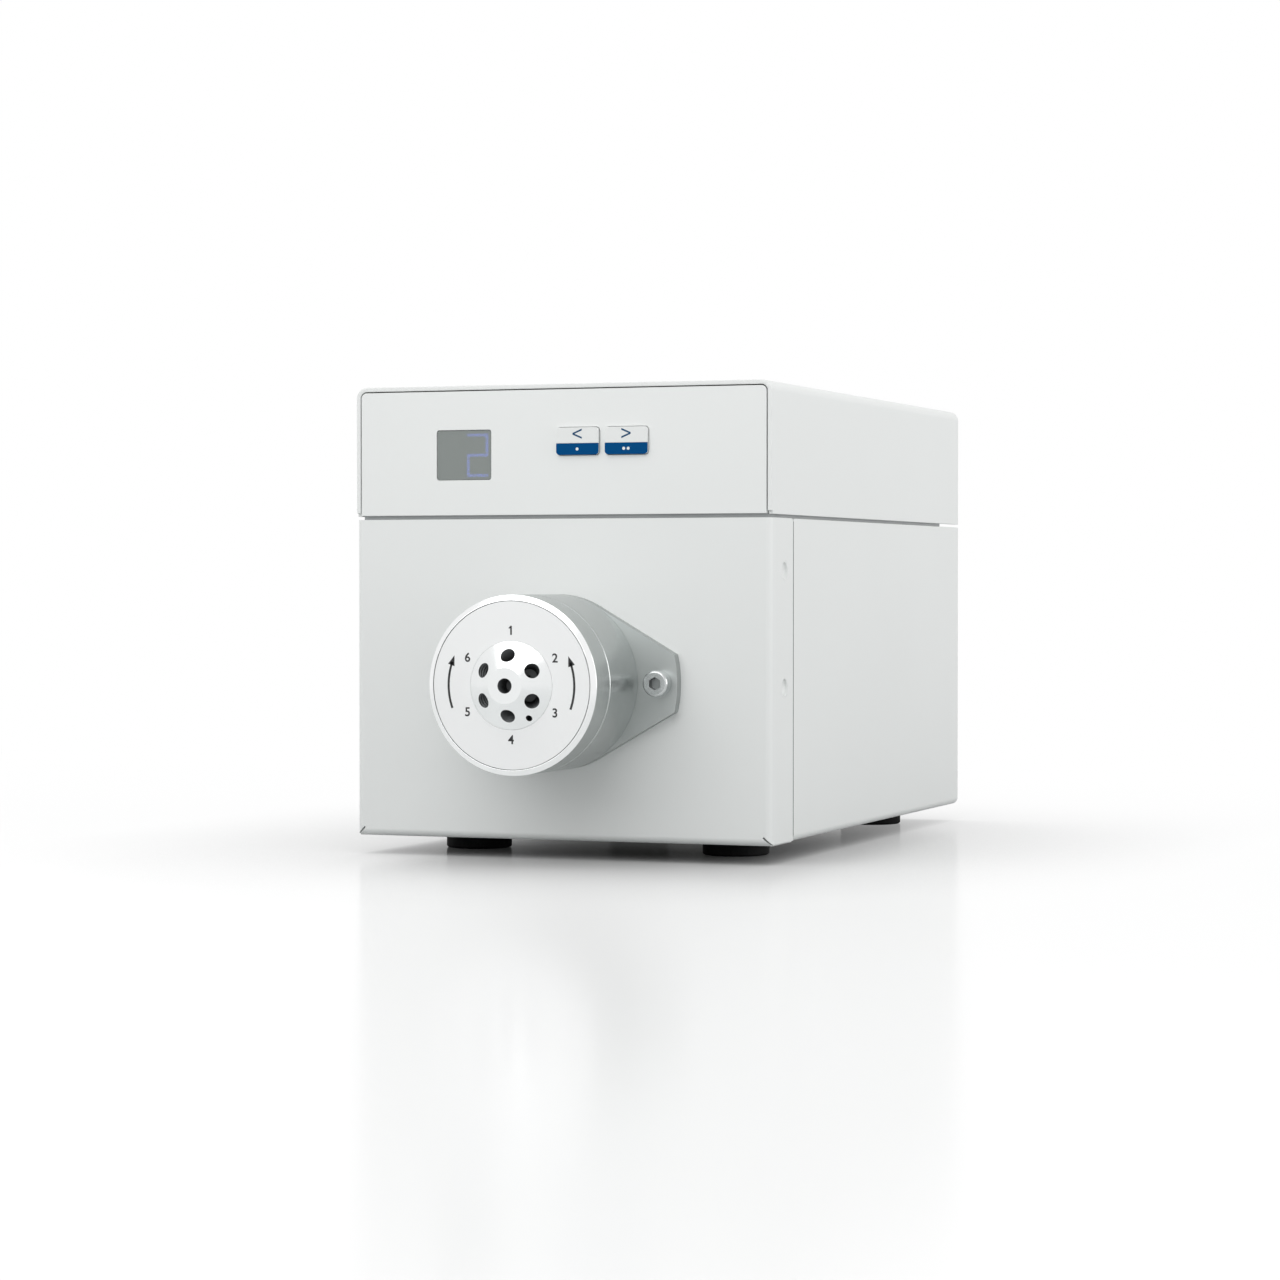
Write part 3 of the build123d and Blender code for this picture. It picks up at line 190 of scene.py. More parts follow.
DIAL_EDGE = 0.04
STATOR_EDGE = 0.06

PORTS = 6
PORT_RING = 7.95
PORT_RADIUS = 2.0
PORT_DEPTH = 6.0
THREAD_PITCH = 0.79
THREAD_DEPTH = 0.3
THREAD_START = 0.4
THREAD_RELIEF = 0.2
# Where, within each pitch, the groove reaches its depth, starts to leave it, and ends.
GROOVE_FLOOR = 0.25
GROOVE_FLOOR_END = 0.35
GROOVE_END = 0.6
PASSAGE_RADIUS = 0.3
PASSAGE_END = 14.0
BORE_MARGIN = 0.15
LOCATING_RING = 10.1
LOCATING_ANGLE = -57.0
LOCATING_RADIUS = 0.8
LOCATING_DEPTH = 2.0

NUMBER_RING = 14.3
NUMBER_HEIGHT = 2.4
NUMBER_BOLDNESS = 0.06
FLAG_LENGTH = 0.75
FLAG_STROKE = 0.32
FLAG_SLANT = 38
FLAG_PLACE = (-0.3, -0.3, 0)
ARROW_RING = 17.8
ARROW_SPAN = 40.0
ARROW_STROKE = 0.6
ARROW_HEAD = 1.8
ARROW_SLIMNESS = 0.62
INK = 0.03
CAPITAL_SHARE = 0.73


# ---- materials -------------------------------------------------------------------------
def linear(code):
    """A linear RGBA colour from an sRGB hex value."""
    channels = [int(code[i : i + 2], 16) / 255 for i in (1, 3, 5)]
    curve = [c / 12.92 if c <= 0.04045 else ((c + 0.055) / 1.055) ** 2.4 for c in channels]
    return (*curve, 1.0)


def add_node(tree, kind, sockets=None, **settings):
    """Adds a shader node, with its settings, and fills or links its input sockets."""
    made = tree.nodes.new(kind)
    for name, value in settings.items():
        setattr(made, name, value)
    for name, value in (sockets or {}).items():
        if isinstance(value, bpy.types.NodeSocket):
            tree.links.new(value, made.inputs[name])
        else:
            made.inputs[name].default_value = value
    return made


def per_mm(size):
    """A pattern's scale, for features that are that many millimetres across."""
    return 1 / (size * MM)


# A wave texture at a scale of 1 repeats after this many metres.
WAVE_UNIT = math.pi / 10


def start_material(name):
    """A new empty material, with its node tree and the Object coordinates."""
    material = bpy.data.materials.new(name)
    material.use_nodes = True
    tree = material.node_tree
    tree.nodes.clear()
    place = add_node(tree, "ShaderNodeTexCoord").outputs["Object"]
    return material, tree, place


def close_material(material, tree, surface, pattern, depth, strength=1.0):
    """Links the surface to the output, with the pattern as a bump of that depth in mm."""
    if pattern is not None:
        sockets = {"Height": pattern, "Distance": depth * MM, "Strength": strength}
        bump = add_node(tree, "ShaderNodeBump", sockets)
        tree.links.new(bump.outputs["Normal"], surface.inputs["Normal"])
    add_node(tree, "ShaderNodeOutputMaterial", {"Surface": surface.outputs[0]})
    return material


def varied(tree, place, low, high, size):
    """A colour that drifts between two hex values over patches of that size."""
    noise = add_node(tree, "ShaderNodeTexNoise", {"Vector": place, "Scale": per_mm(size)})
    mix = add_node(tree, "ShaderNodeMix", {"Factor": noise.outputs["Fac"]}, data_type="RGBA")
    mix.inputs["A"].default_value = linear(low)
    mix.inputs["B"].default_value = linear(high)
    return mix.outputs["Result"]


def powder_coat(name, low, high, roughness):
    """Powder coat, enamel or coated film: a soft sheen over a very fine orange peel."""
    material, tree, place = start_material(name)
    tone = varied(tree, place, low, high, 60)
    sockets = {"Base Color": tone, "Roughness": roughness, "IOR": 1.5, "Specular IOR Level": 0.3}
    surface = add_node(tree, "ShaderNodeBsdfPrincipled", sockets)
    # Real orange peel is about 0.6 mm, drawn at 1 mm so that it shows.
    bumps = {"Vector": place, "Scale": per_mm(1.0), "Detail": 3.0}
    peel = add_node(tree, "ShaderNodeTexNoise", bumps)
    return close_material(material, tree, surface, peel.outputs["Fac"], 0.012, 0.5)


def turned_metal(name, low, high, roughness):
    """Metal off the lathe: faint waves run round the axis and stretch the highlights."""
    material, tree, place = start_material(name)
    tone = varied(tree, place, low, high, 8)
    sockets = {"Base Color": tone, "Metallic": 1.0, "Roughness": roughness}
    surface = add_node(tree, "ShaderNodeBsdfPrincipled", sockets)
    # Real feed lines are about 0.1 mm apart, drawn 2.2 mm apart so that they show.
    lines = {"Vector": place, "Scale": WAVE_UNIT * per_mm(2.2), "Distortion": 0.4}
    feed = add_node(tree, "ShaderNodeTexWave", lines, wave_type="BANDS", bands_direction="Y")
    return close_material(material, tree, surface, feed.outputs["Fac"], 0.003)


def grained_metal(name, low, high, roughness, grain, depth):
    """Blasted, plated or milled metal: an even fine grain with no direction."""
    material, tree, place = start_material(name)
    tone = varied(tree, place, low, high, 10)
    sockets = {"Base Color": tone, "Metallic": 1.0, "Roughness": roughness}
    surface = add_node(tree, "ShaderNodeBsdfPrincipled", sockets)
    # The real grain is finer than a tenth of a millimetre, drawn coarser so that it shows.
    noise = add_node(tree, "ShaderNodeTexNoise", {"Vector": place, "Scale": per_mm(grain)})
    return close_material(material, tree, surface, noise.outputs["Fac"], depth)


def plastic(name, low, high, roughness, grain=0.4, depth=0.004, gloss=0.5):
    """Moulded or printed plastic, with the faint grain of its tool."""
    material, tree, place = start_material(name)
    tone = varied(tree, place, low, high, 6)
    sockets = {"Base Color": tone, "Roughness": roughness, "IOR": 1.5, "Specular IOR Level": gloss}
    surface = add_node(tree, "ShaderNodeBsdfPrincipled", sockets)
    noise = add_node(tree, "ShaderNodeTexNoise", {"Vector": place, "Scale": per_mm(grain)})
    return close_material(material, tree, surface, noise.outputs["Fac"], depth)


def smoked_acrylic():
    """Smoked acrylic with a matt front: grey, and clear enough for the lit bars behind it."""
    material, tree, place = start_material("smoked_acrylic")
    tone = varied(tree, place, "#A0A7A4", "#A4ABA8", 9)
    sockets = {"Base Color": tone, "Roughness": 0.07, "IOR": 1.49, "Transmission Weight": 0.4}
    surface = add_node(tree, "ShaderNodeBsdfPrincipled", sockets)
    matt = add_node(tree, "ShaderNodeTexNoise", {"Vector": place, "Scale": per_mm(0.3)})
    return close_material(material, tree, surface, matt.outputs["Fac"], 0.001)


def lit_bars():
    """The diffuser over light-emitting bars: it glows evenly in blue."""
    material, tree, place = start_material("blue_lit_diffuser")
    tone = varied(tree, place, "#8C9AE0", "#98A6E6", 2)
    sockets = {"Base Color": tone, "Roughness": 0.5}
    sockets |= {"Emission Color": linear("#5C72F6"), "Emission Strength": 3.4}
    surface = add_node(tree, "ShaderNodeBsdfPrincipled", sockets)
    return close_material(material, tree, surface, None, 0)


def circuit_board():
    """Green solder mask over copper tracks: lighter lines where copper lies under it."""
    material, tree, place = start_material("green_solder_mask")
    spacing = {"Vector": place, "Scale": per_mm(6.0), "Mortar Size": 0.03, "Mortar Smooth": 0.1}
    tracks = add_node(tree, "ShaderNodeTexBrick", spacing)
    tracks.inputs["Color1"].default_value = linear("#0E5A34")
    tracks.inputs["Color2"].default_value = linear("#0C4E2D")
    tracks.inputs["Mortar"].default_value = linear("#2C8352")
    sockets = {"Base Color": tracks.outputs["Color"], "Roughness": 0.35}
    surface = add_node(tree, "ShaderNodeBsdfPrincipled", sockets)
    return close_material(material, tree, surface, tracks.outputs["Fac"], 0.02)


def ribbon_vinyl():
    """Flat grey cable of soft vinyl: a dull grey with a slow roll across its width."""
    material, tree, place = start_material("grey_ribbon_vinyl")
    # The real cores are 1.27 mm apart, and this roll of 8 mm doesn't draw them one by one.
    pitch = {"Vector": place, "Scale": WAVE_UNIT * per_mm(8.0)}
    ribs = add_node(tree, "ShaderNodeTexWave", pitch, wave_type="BANDS", bands_direction="X")
    tone = varied(tree, place, "#9B9DA0", "#A7A9AB", 5)
    surface = add_node(tree, "ShaderNodeBsdfPrincipled", {"Base Color": tone, "Roughness": 0.45})
    return close_material(material, tree, surface, ribs.outputs["Fac"], 0.2)


FINISH = {
    # The white housing: satin, with a peel that shows where light grazes it.
    "housing_paint": powder_coat("powder_coated_steel", "#E4E6E5", "#E7E9E8", 0.42),
    # The film over the control plate: a little whiter and glossier than the paint.
    "fascia_paint": powder_coat("polyester_front_film", "#E6E8E7", "#E9EBEA", 0.38),
    # Zinc on the inner chassis and the serial socket's shell: a cool, half dull grey.
    "zinc_steel": grained_metal("zinc_plated_steel", "#8A8D8E", "#9A9D9D", 0.38, 0.8, 0.006),
    # Turned steel of the valve body and its ring: clear mirrors, drawn out round the axis.
    "stainless": turned_metal("turned_stainless_steel", "#B4B8B7", "#BCC0BF", 0.27),
    # Finely blasted steel of the coned front: nearly white and bright.
    "stator_steel": grained_metal("blasted_stainless_steel", "#E8EAEA", "#ECEEEE", 0.2, 0.25, 0.002),
    # Baked enamel on the dial: the whitest finish here, with a low sheen.
    "dial_white": powder_coat("white_dial_enamel", "#F4F5F5", "#F7F8F8", 0.35),
    # Black rubber: deep black, with hardly a highlight.
    "foot_rubber": plastic(
        "moulded_black_rubber", "#050506", "#09090A", 0.7, grain=0.6, depth=0.02, gloss=0.2
    ),
    # Nickel on screws, nuts and pins: small sharp glints.
    "screw_steel": grained_metal(
        "nickel_plated_screw_steel", "#BEC1C1", "#C6C9C9", 0.2, grain=0.5, depth=0.002
    ),
    # Milled aluminium of the drive's plates and the motor's caps: pale and silky.
    "plate_aluminium": grained_metal("milled_aluminium", "#B9BBBD", "#C4C6C8", 0.32, 0.5, 0.006),
    # Sintered bronze of bushes and spacers: warm and dull, with fine pores.
    "bearing_bronze": grained_metal("sintered_bronze", "#A8763E", "#B98548", 0.42, 0.2, 0.01),
    # Hobbed steel of gears and shafts: a darker grey with long highlights.
    "gear_steel": turned_metal("hobbed_gear_steel", "#8D9092", "#9B9EA0", 0.32),
    # Oiled steel of the spring washers: a dark grey, half bright.
    "spring_steel": grained_metal("oiled_spring_steel", "#5B5D60", "#6A6C6F", 0.35, 0.4, 0.004),
    # Lapped polymer of the rotor seal: nearly black, with the soft shine of a flat face.
    "seal_polymer": plastic("lapped_seal_polymer", "#2A2A28", "#33332F", 0.3),
    # Black film of the encoder disc, sleeves, cable and dial print: a flat black.
    "disc_black": plastic("black_film", "#161618", "#1E1E20", 0.5),
    # Black lacquer on the motor: deep black with a fine wrinkle.
    "motor_black": plastic("black_motor_lacquer", "#141416", "#1C1C1E", 0.45, 0.5, 0.02),
    # Black nylon of the switches, chips and power jack: dark, with a dull gleam.
    "connector_black": plastic("moulded_black_nylon", "#151517", "#1D1D20", 0.45),
    # Green nylon of the terminal block: a clear mid green.
    "connector_green": plastic("moulded_green_nylon", "#2C8A4B", "#339654", 0.42),
    # Circuit board: green, with lighter tracks.
    "board_green": circuit_board(),
    # White ABS of the keys: smooth and slightly glossy.
    "key_white": plastic("moulded_white_abs", "#E2E4E3", "#E6E8E7", 0.28, 0.5, 0.002),
    # Blue ABS of the keys' bands: a deep blue with hardly a shine.
    "key_blue": plastic("moulded_blue_abs", "#00457A", "#004A80", 0.5, 0.5, 0.002, 0.04),
    # Smoked acrylic of the window: grey and clear.
    "window_grey": smoked_acrylic(),
    # Grey epoxy of the display: plain and half matt.
    "module_grey": plastic("grey_display_epoxy", "#7E8482", "#868C8A", 0.5),
    # Lit bars of the display: an even blue glow.
    "digit_blue": lit_bars(),
    # Grey vinyl of the ribbon cable.
    "cable_grey": ribbon_vinyl(),
}
# Blue ink on the keys: a dark, dull blue.
BLUE_INK = plastic("blue_screen_ink", "#0F4468", "#134A70", 0.5, gloss=0.2)
# The walls inside the ports: painted shade, a dark steel for the little light that reaches them.
PORT_PAINTED_SHADE = grained_metal("port_bore_painted_shade", "#565859", "#606263", 0.5, 0.4, 0.004)
# The ring's polished chamfer: its near-white colour is a painted highlight, a bright line round the
# dial.
CHAMFER_PAINTED_HIGHLIGHT = grained_metal("polished_chamfer_painted_highlight", "#F0F1F1", "#F4F5F5", 0.16, 0.4, 0.001)
# The milled flange: duller than what is turned, and its colour darker than the turned steel as
# painted shade.
FLANGE_STEEL_AND_SHADE = grained_metal("milled_flange_painted_shade", "#A9ADAC", "#B1B5B4", 0.36, 0.4, 0.003)
# The screws' broached sockets: a dull darker grey, painted shade in their recess.
SOCKET_PAINTED_SHADE = grained_metal("screw_socket_painted_shade", "#868989", "#909393", 0.4, 0.4, 0.003)
# The tray's front edges: a dark steel as painted shade, so the seam shows as a dark line.
SEAM_PAINTED_SHADE = grained_metal("seam_edge_painted_shade", "#565859", "#606263", 0.5, 0.4, 0.004)


def paint(piece, material):
    """Makes this the piece's only material."""
    piece.data.materials.clear()
    piece.data.materials.append(material)


for part in frame["record"]["subparts"]:
    paint(frame["nodes"][part["node"]], FINISH[part["material_slot"]])


# ---- modelling helpers -----------------------------------------------------------------
def at(x, y, z):
    """A place in metres, from millimetres with y counted from the front panel's face."""
    return Vector((x, PANEL_Y + y, z)) * MM


def deselect():
    """Leaves edit mode, with nothing selected."""
    if bpy.context.object and bpy.context.object.mode == "EDIT":
        bpy.ops.object.mode_set(mode="OBJECT")
    bpy.ops.object.select_all(action="DESELECT")


def pick(*pieces):
    """Selects these pieces alone, with the first as the active one."""
    deselect()
    for piece in pieces:
        piece.select_set(True)
    bpy.context.view_layer.objects.active = pieces[0]


def apply_place(piece):
    """Moves the piece's place, turn and scale into its mesh."""
    pick(piece)
    bpy.ops.object.transform_apply(location=True, rotation=True, scale=True)
    return piece


def clear_picks(piece):
    """Selects the piece, with nothing selected in its mesh."""
    pick(piece)
    mesh = piece.data
    for part in (*mesh.vertices, *mesh.edges, *mesh.polygons):
        part.select = False
    return mesh


def edit_edges(piece, test):
    """Opens the piece for editing, with the edges selected whose two ends pass the test."""
    mesh = clear_picks(piece)
    for edge in mesh.edges:
        edge.select = test(*(mesh.vertices[i].co for i in edge.vertices))
    bpy.context.tool_settings.mesh_select_mode = (False, True, False)
    bpy.ops.object.mode_set(mode="EDIT")


def edit_faces(piece, test):
    """Opens the piece for editing, with the faces selected whose normal passes the test."""
    for face in clear_picks(piece).polygons:
        face.select = test(face.normal)
    bpy.context.tool_settings.mesh_select_mode = (False, False, True)
    bpy.ops.object.mode_set(mode="EDIT")


def apply_modifier(piece, kind, **settings):
    """Adds a modifier with its settings, and applies it at once."""
    pick(piece)
    modifier = piece.modifiers.new(kind.lower(), kind)
    for key, value in settings.items():
        setattr(modifier, key, value)
    bpy.ops.object.modifier_apply(modifier=modifier.name)


def cut(piece, cutter):
    """Cuts one mesh out of another, and removes the cutter."""
    apply_modifier(piece, "BOOLEAN", operation="DIFFERENCE", object=cutter, solver="EXACT")
    bpy.data.objects.remove(cutter)


def fuse(piece, other):
    """Makes one closed mesh of two that touch or overlap."""
    apply_modifier(piece, "BOOLEAN", operation="UNION", object=other, solver="EXACT")
    bpy.data.objects.remove(other)


def join(*pieces):
    """Puts pieces together in one object, with their meshes as they are."""
    pick(*pieces)
    bpy.ops.object.join()
    return bpy.context.object


def soften(piece, width, segments=2, angle=30):
    """Rounds every edge sharper than the angle, and shades the rest smooth."""
    apply_modifier(
        piece,
        "BEVEL",
        width=width * MM,
        segments=segments,
        limit_method="ANGLE",
        angle_limit=math.radians(angle),
    )
    pick(piece)
    bpy.ops.object.shade_smooth_by_angle(angle=math.radians(angle))
    apply_modifier(piece, "WEIGHTED_NORMAL", keep_sharp=True)
    return piece


def finish(piece, name, slot, body, *nodes, ink=None):
    """Names and paints a new piece, and sets the body it rides on and the nodes it stands for."""
    apply_place(piece)
    piece.name = name
    piece.data.name = name
    paint(piece, ink or FINISH[slot])
    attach(piece, body)
    if nodes:
        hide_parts(*nodes)
    return piece


def second_finish(piece, material, test):
    """Gives a finished piece's faces a second material, where centre and normal pass the test."""
    piece.data.materials.append(material)
    for face in piece.data.polygons:
        face.material_index = int(test(face.center, face.normal))


def block(left, right, front, back, low, high):
    """A plain block between these limits in millimetres."""
    deselect()
    middle = at((left + right) / 2, (front + back) / 2, (low + high) / 2)
    size = Vector((right - left, back - front, high - low)) * MM
    bpy.ops.mesh.primitive_cube_add(size=1, location=middle, scale=size)
    return apply_place(bpy.context.object)


def rounded_block(left, right, front, back, low, high, corner):
    """A plate that faces the front, with its four corners rounded."""
    plate = block(left, right, front, back, low, high)
    edit_edges(plate, lambda a, b: abs(a.y - b.y) > TOUCH * MM)
    bpy.ops.mesh.bevel(offset=corner * MM, segments=8, affect="EDGES")
    deselect()
    return plate


def turned(profile, ring=False, sides=128):
    """A piece turned about Z from (radius, height) points, drawn out loop by loop."""
    radius, height = profile[0]
    deselect()
    bpy.ops.mesh.primitive_circle_add(
        vertices=sides,
        radius=radius * MM,
        fill_type="NOTHING" if ring else "NGON",
        location=(0, 0, height * MM),
    )
    piece = apply_place(bpy.context.object)
    bpy.context.tool_settings.mesh_select_mode = (False, True, False)
    bpy.ops.object.mode_set(mode="EDIT")
    bpy.ops.mesh.select_all(action="SELECT")
    for next_radius, next_height in profile[1:]:
        rise = (0, 0, (next_height - height) * MM)
        bpy.ops.mesh.extrude_edges_move(TRANSFORM_OT_translate={"value": rise})
        if next_radius != radius:
            spread = next_radius / radius
            bpy.ops.transform.resize(value=(spread, spread, 1), center_override=(0, 0, 0))
        radius, height = next_radius, next_height
    if ring:
        bpy.ops.mesh.select_all(action="DESELECT")
        bpy.ops.mesh.select_non_manifold()
        bpy.ops.mesh.bridge_edge_loops()
    else:
        bpy.ops.mesh.edge_face_add()
    bpy.ops.mesh.select_all(action="SELECT")
    bpy.ops.mesh.normals_make_consistent(inside=False)
    deselect()
    return piece


# A piece turned about Z is stood with its top to the front, or to one of the sides.
TO_FRONT = Matrix.Rotation(math.pi / 2, 4, "X")
TO_RIGHT = Matrix.Rotation(math.pi / 2, 4, "Y")
TO_LEFT = Matrix.Rotation(-math.pi / 2, 4, "Y")


def put(piece, place, turn=None):
    """Moves a piece that was made about the origin to its place."""
    piece.matrix_world = Matrix.Translation(at(*place)) @ (turn or Matrix())
    return apply_place(piece)


def copied(piece):
    """A second piece of the same shape, with its own mesh."""
    copy = piece.copy()
    copy.data = piece.data.copy()
    bpy.context.scene.collection.objects.link(copy)
    return copy


def repeated(piece, places, turns):
    """Puts a copy of a piece at each place and turn, joins them and removes the piece."""
    copies = [put(copied(piece), place, turn) for place, turn in zip(places, turns)]
    bpy.data.objects.remove(piece)
    return join(*copies)


def head_piece(profile, ring=False):
    """A piece of the valve head, from (radius, y) points that run from back to front."""
    heights = [(radius, -y) for radius, y in profile]
    return put(turned(heights, ring), (0, 0, AXIS_Z), TO_FRONT)


def rod(radius, front, back, x, z, sides=48):
    """A plain round rod or cutter along Y."""
    return put(turned([(radius, -back), (radius, -front)], sides=sides), (x, 0, z), TO_FRONT)


# ---- sheet-metal housing ---------------------------------------------------------------
def folded_sheet(limits, is_open, is_bend, bend, thickness):
    """A block opened on some faces and bent at some edges, given the sheet's thickness."""
    sheet = block(*limits)
    edit_faces(sheet, is_open)
    bpy.ops.mesh.delete(type="FACE")
    edit_edges(sheet, is_bend)
    bpy.ops.mesh.bevel(offset=bend * MM, segments=10, affect="EDGES")
    deselect()
    apply_modifier(sheet, "SOLIDIFY", thickness=thickness * MM, offset=-1, use_even_offset=True)
    return sheet


def round_seam_corner(sheet, y):
    """Rounds the side walls' top corners at that end of the sheet."""
    corner = at(0, y, LOWER_TOP)

    def is_near(point):
        return math.hypot(point.y - corner.y, point.z - corner.z) < TOUCH * MM

    def at_corner(a, b):
        return abs(a.x - b.x) > TOUCH * MM and is_near(a) and is_near(b)

    edit_edges(sheet, at_corner)
    bpy.ops.mesh.bevel(offset=SEAM_CORNER * MM, segments=6, affect="EDGES")
    deselect()


def make_front_panel():
    """The front panel: bent back at both sides and below, with slits at its low corners."""
    limits = (-HALF_WIDTH, HALF_WIDTH, 0, PANEL_FLANGE, FOOT_HEIGHT, LOWER_TOP)
    front = at(0, TOUCH, 0).y
    below_top = at(0, 0, LOWER_TOP - TOUCH).z
    panel = folded_sheet(
        limits,
        lambda normal: normal.z > 0.5 or normal.y > 0.5,
        lambda a, b: max(a.y, b.y) < front and min(a.z, b.z) < below_top,
        PANEL_BEND,
        PANEL_SHEET,
    )
    round_seam_corner(panel, PANEL_FLANGE)
    for side in (-1, 1):
        across = (-CORNER_SLIT / 2, CORNER_SLIT / 2)
        slit = block(*across, -CLEAR, PANEL_FLANGE + CLEAR, -SLIT_REACH, SLIT_REACH)
        corner = Matrix.Translation((side * HALF_WIDTH * MM, 0, FOOT_HEIGHT * MM))
        slit.matrix_world = corner @ Matrix.Rotation(-side * math.pi / 4, 4, "Y")
        cut(panel, apply_place(slit))
    through = (-CLEAR, PANEL_SHEET + CLEAR)
    cut(panel, rod(PILOT_RADIUS + SNUG, *through, 0, AXIS_Z))
    for side in (-1, 1):
        cut(panel, rod(SCREW_HOLE, *through, side * FLANGE_SCREW_X, AXIS_Z))
    reach = HALF_WIDTH + CLEAR
    for height in RIVET_HEIGHTS:
        hole = turned([(RIVET_RADIUS, -reach), (RIVET_RADIUS, reach)], sides=64)
        cut(panel, put(hole, (0, RIVET_Y, height), TO_RIGHT))
    soften(panel, PAINTED_EDGE)
    finish(panel, "painted_front_panel", "housing_paint", "housing", "front_panel")


def make_tray():
    """The lower shell behind the front panel: a floor with two side walls, whose front edges carry
    the seam's painted shade.
    """
    limits = (-HALF_WIDTH, HALF_WIDTH, TRAY_FRONT, BODY_BACK, FOOT_HEIGHT, LOWER_TOP)
    low = at(0, 0, FOOT_HEIGHT + TOUCH).z
    tray = folded_sheet(
        limits,
        lambda normal: normal.z > 0.5 or abs(normal.y) > 0.5,
        lambda a, b: max(a.z, b.z) < low and abs(a.y - b.y) > TOUCH * MM,
        PANEL_BEND,
        PANEL_SHEET,
    )
    round_seam_corner(tray, TRAY_FRONT)
    soften(tray, PAINTED_EDGE)
    finish(tray, "painted_base_tray", "housing_paint", "housing", "base_tray")
    # The front edges and their rounding, seen in the seam, get the painted shade.
    seam = at(0, TRAY_FRONT + PAINTED_EDGE, 0).y
    second_finish(tray, SEAM_PAINTED_SHADE, lambda spot, normal: spot.y < seam and normal.y < -0.3)


def make_hood():
    """The hood: a sheet bent down at both sides, with two screw tabs inside its back."""
    limits = (-HALF_WIDTH, HALF_WIDTH, 0, BODY_BACK, HOOD_LOW, HOOD_TOP)
    high = at(0, 0, HOOD_TOP - TOUCH).z
    hood = folded_sheet(
        limits,
        lambda normal: normal.z < -0.5 or abs(normal.y) > 0.5,
        lambda a, b: min(a.z, b.z) > high and abs(a.y - b.y) > TOUCH * MM,
        HOOD_BEND,
        HOOD_SHEET,
    )
    for side in (-1, 1):
        ends = sorted((side * (HALF_WIDTH - HOOD_BEND), side * (HALF_WIDTH + CLEAR)))
        cut(hood, block(*ends, -CLEAR, HOOD_NOTCH, HOOD_LOW - CLEAR, HOOD_LOW + HOOD_NOTCH))
    soften(hood, PAINTED_EDGE)
    low = at(0, 0, HOOD_TAB_LOW + TOUCH).z
    for side in (-1, 1):
        left = side * HOOD_TAB_PLACE - HOOD_TAB_WIDTH / 2
        across = (left, left + HOOD_TAB_WIDTH)
        tab = block(*across, REAR_PLANE, REAR_PLANE + HOOD_SHEET, HOOD_TAB_LOW, HOOD_CEILING)
        edit_edges(tab, lambda a, b: max(a.z, b.z) < low and abs(a.y - b.y) > TOUCH * MM)
        bpy.ops.mesh.bevel(offset=HOOD_TAB_CORNER * MM, segments=8, affect="EDGES")
        hood = join(hood, soften(tab, PAINTED_EDGE))
    finish(hood, "painted_hood", "housing_paint", "housing", "hood")


def make_rivets():
    """Dished rivets, two in each side flange of the front panel."""
    edge = RIVET_RADIUS - RIVET_PLAY
    bowl = [(edge - inward, PANEL_SHEET - down) for inward, down in RIVET_BOWL]
    floor = (RIVET_DISH_FLOOR, PANEL_SHEET - RIVET_DISH)
    rivet = turned([(edge, 0), (edge, PANEL_SHEET), *bowl, floor], sides=64)
    x = HALF_WIDTH - PANEL_SHEET
    places = [(side * x, RIVET_Y, height) for side in (-1, 1) for height in RIVET_HEIGHTS]
    turns = (TO_LEFT, TO_LEFT, TO_RIGHT, TO_RIGHT)
    rivets = repeated(soften(rivet, RIVET_EDGE), places, turns)
    finish(rivets, "painted_side_rivets", "housing_paint", "housing", "side_rivets")


def make_feet():
    """Rubber feet, with a round lower edge and a recess for the screw's head."""
    inward, rise = FOOT_ROUND_MIDDLE
    profile = [
        (FOOT_BORE, FOOT_RECESS_TOP),
        (FOOT_RECESS, FOOT_RECESS_TOP),
        (FOOT_RECESS, 0),
        (FOOT_RADIUS - FOOT_ROUND, 0),
        (FOOT_RADIUS - inward, rise),
        (FOOT_RADIUS, FOOT_ROUND),
        (FOOT_RADIUS, FOOT_HEIGHT),
        (FOOT_BORE, FOOT_HEIGHT),
    ]
    foot = soften(turned(profile, ring=True, sides=96), FOOT_EDGE)
    places = [(side * FOOT_X, y, 0) for side in (-1, 1) for y in FOOT_YS]
    feet = repeated(foot, places, [None] * len(places))
    finish(feet, "moulded_feet", "foot_rubber", "housing", "feet")


# ---- control fascia --------------------------------------------------------------------
def key_limits(left, grow):
    """The limits of a key across and up, grown all round by that much."""
    return (left - grow, left + KEY_WIDTH + grow), (KEY_LOW - grow, KEY_TOP + grow)


def make_fascia():
    """The control plate, with its window and key openings and the studs on its back."""
    plate = block(-FASCIA_HALF, FASCIA_HALF, 0, FASCIA_SHEET, FASCIA_LOW, FASCIA_TOP)
    high = at(0, 0, FASCIA_TOP - TOUCH).z
    edit_edges(plate, lambda a, b: min(a.z, b.z) > high and abs(a.y - b.y) > TOUCH * MM)
    bpy.ops.mesh.bevel(offset=FASCIA_CORNER * MM, segments=8, affect="EDGES")
    deselect()
    through = (-CLEAR, FASCIA_SHEET + CLEAR)
    up = (WINDOW_LOW, WINDOW_TOP)
    cut(plate, rounded_block(WINDOW_LEFT, WINDOW_RIGHT, *through, *up, WINDOW_CORNER))
    for left in KEY_LEFTS.values():
        across, up = key_limits(left, KEY_GAP)
        cut(plate, rounded_block(*across, *through, *up, KEY_CORNER + KEY_GAP))
    soften(plate, FASCIA_EDGE)
    stud = turned([(STUD_RADIUS, -STUD_END), (STUD_RADIUS, -FASCIA_SHEET)], sides=32)
    places = [(side * STUD_X, 0, height) for side in (-1, 1) for height in STUD_HEIGHTS]
    studs = repeated(soften(stud, STUD_EDGE), places, [TO_FRONT] * len(places))
    finish(join(plate, studs), "printed_fascia", "fascia_paint", "housing", "fascia")


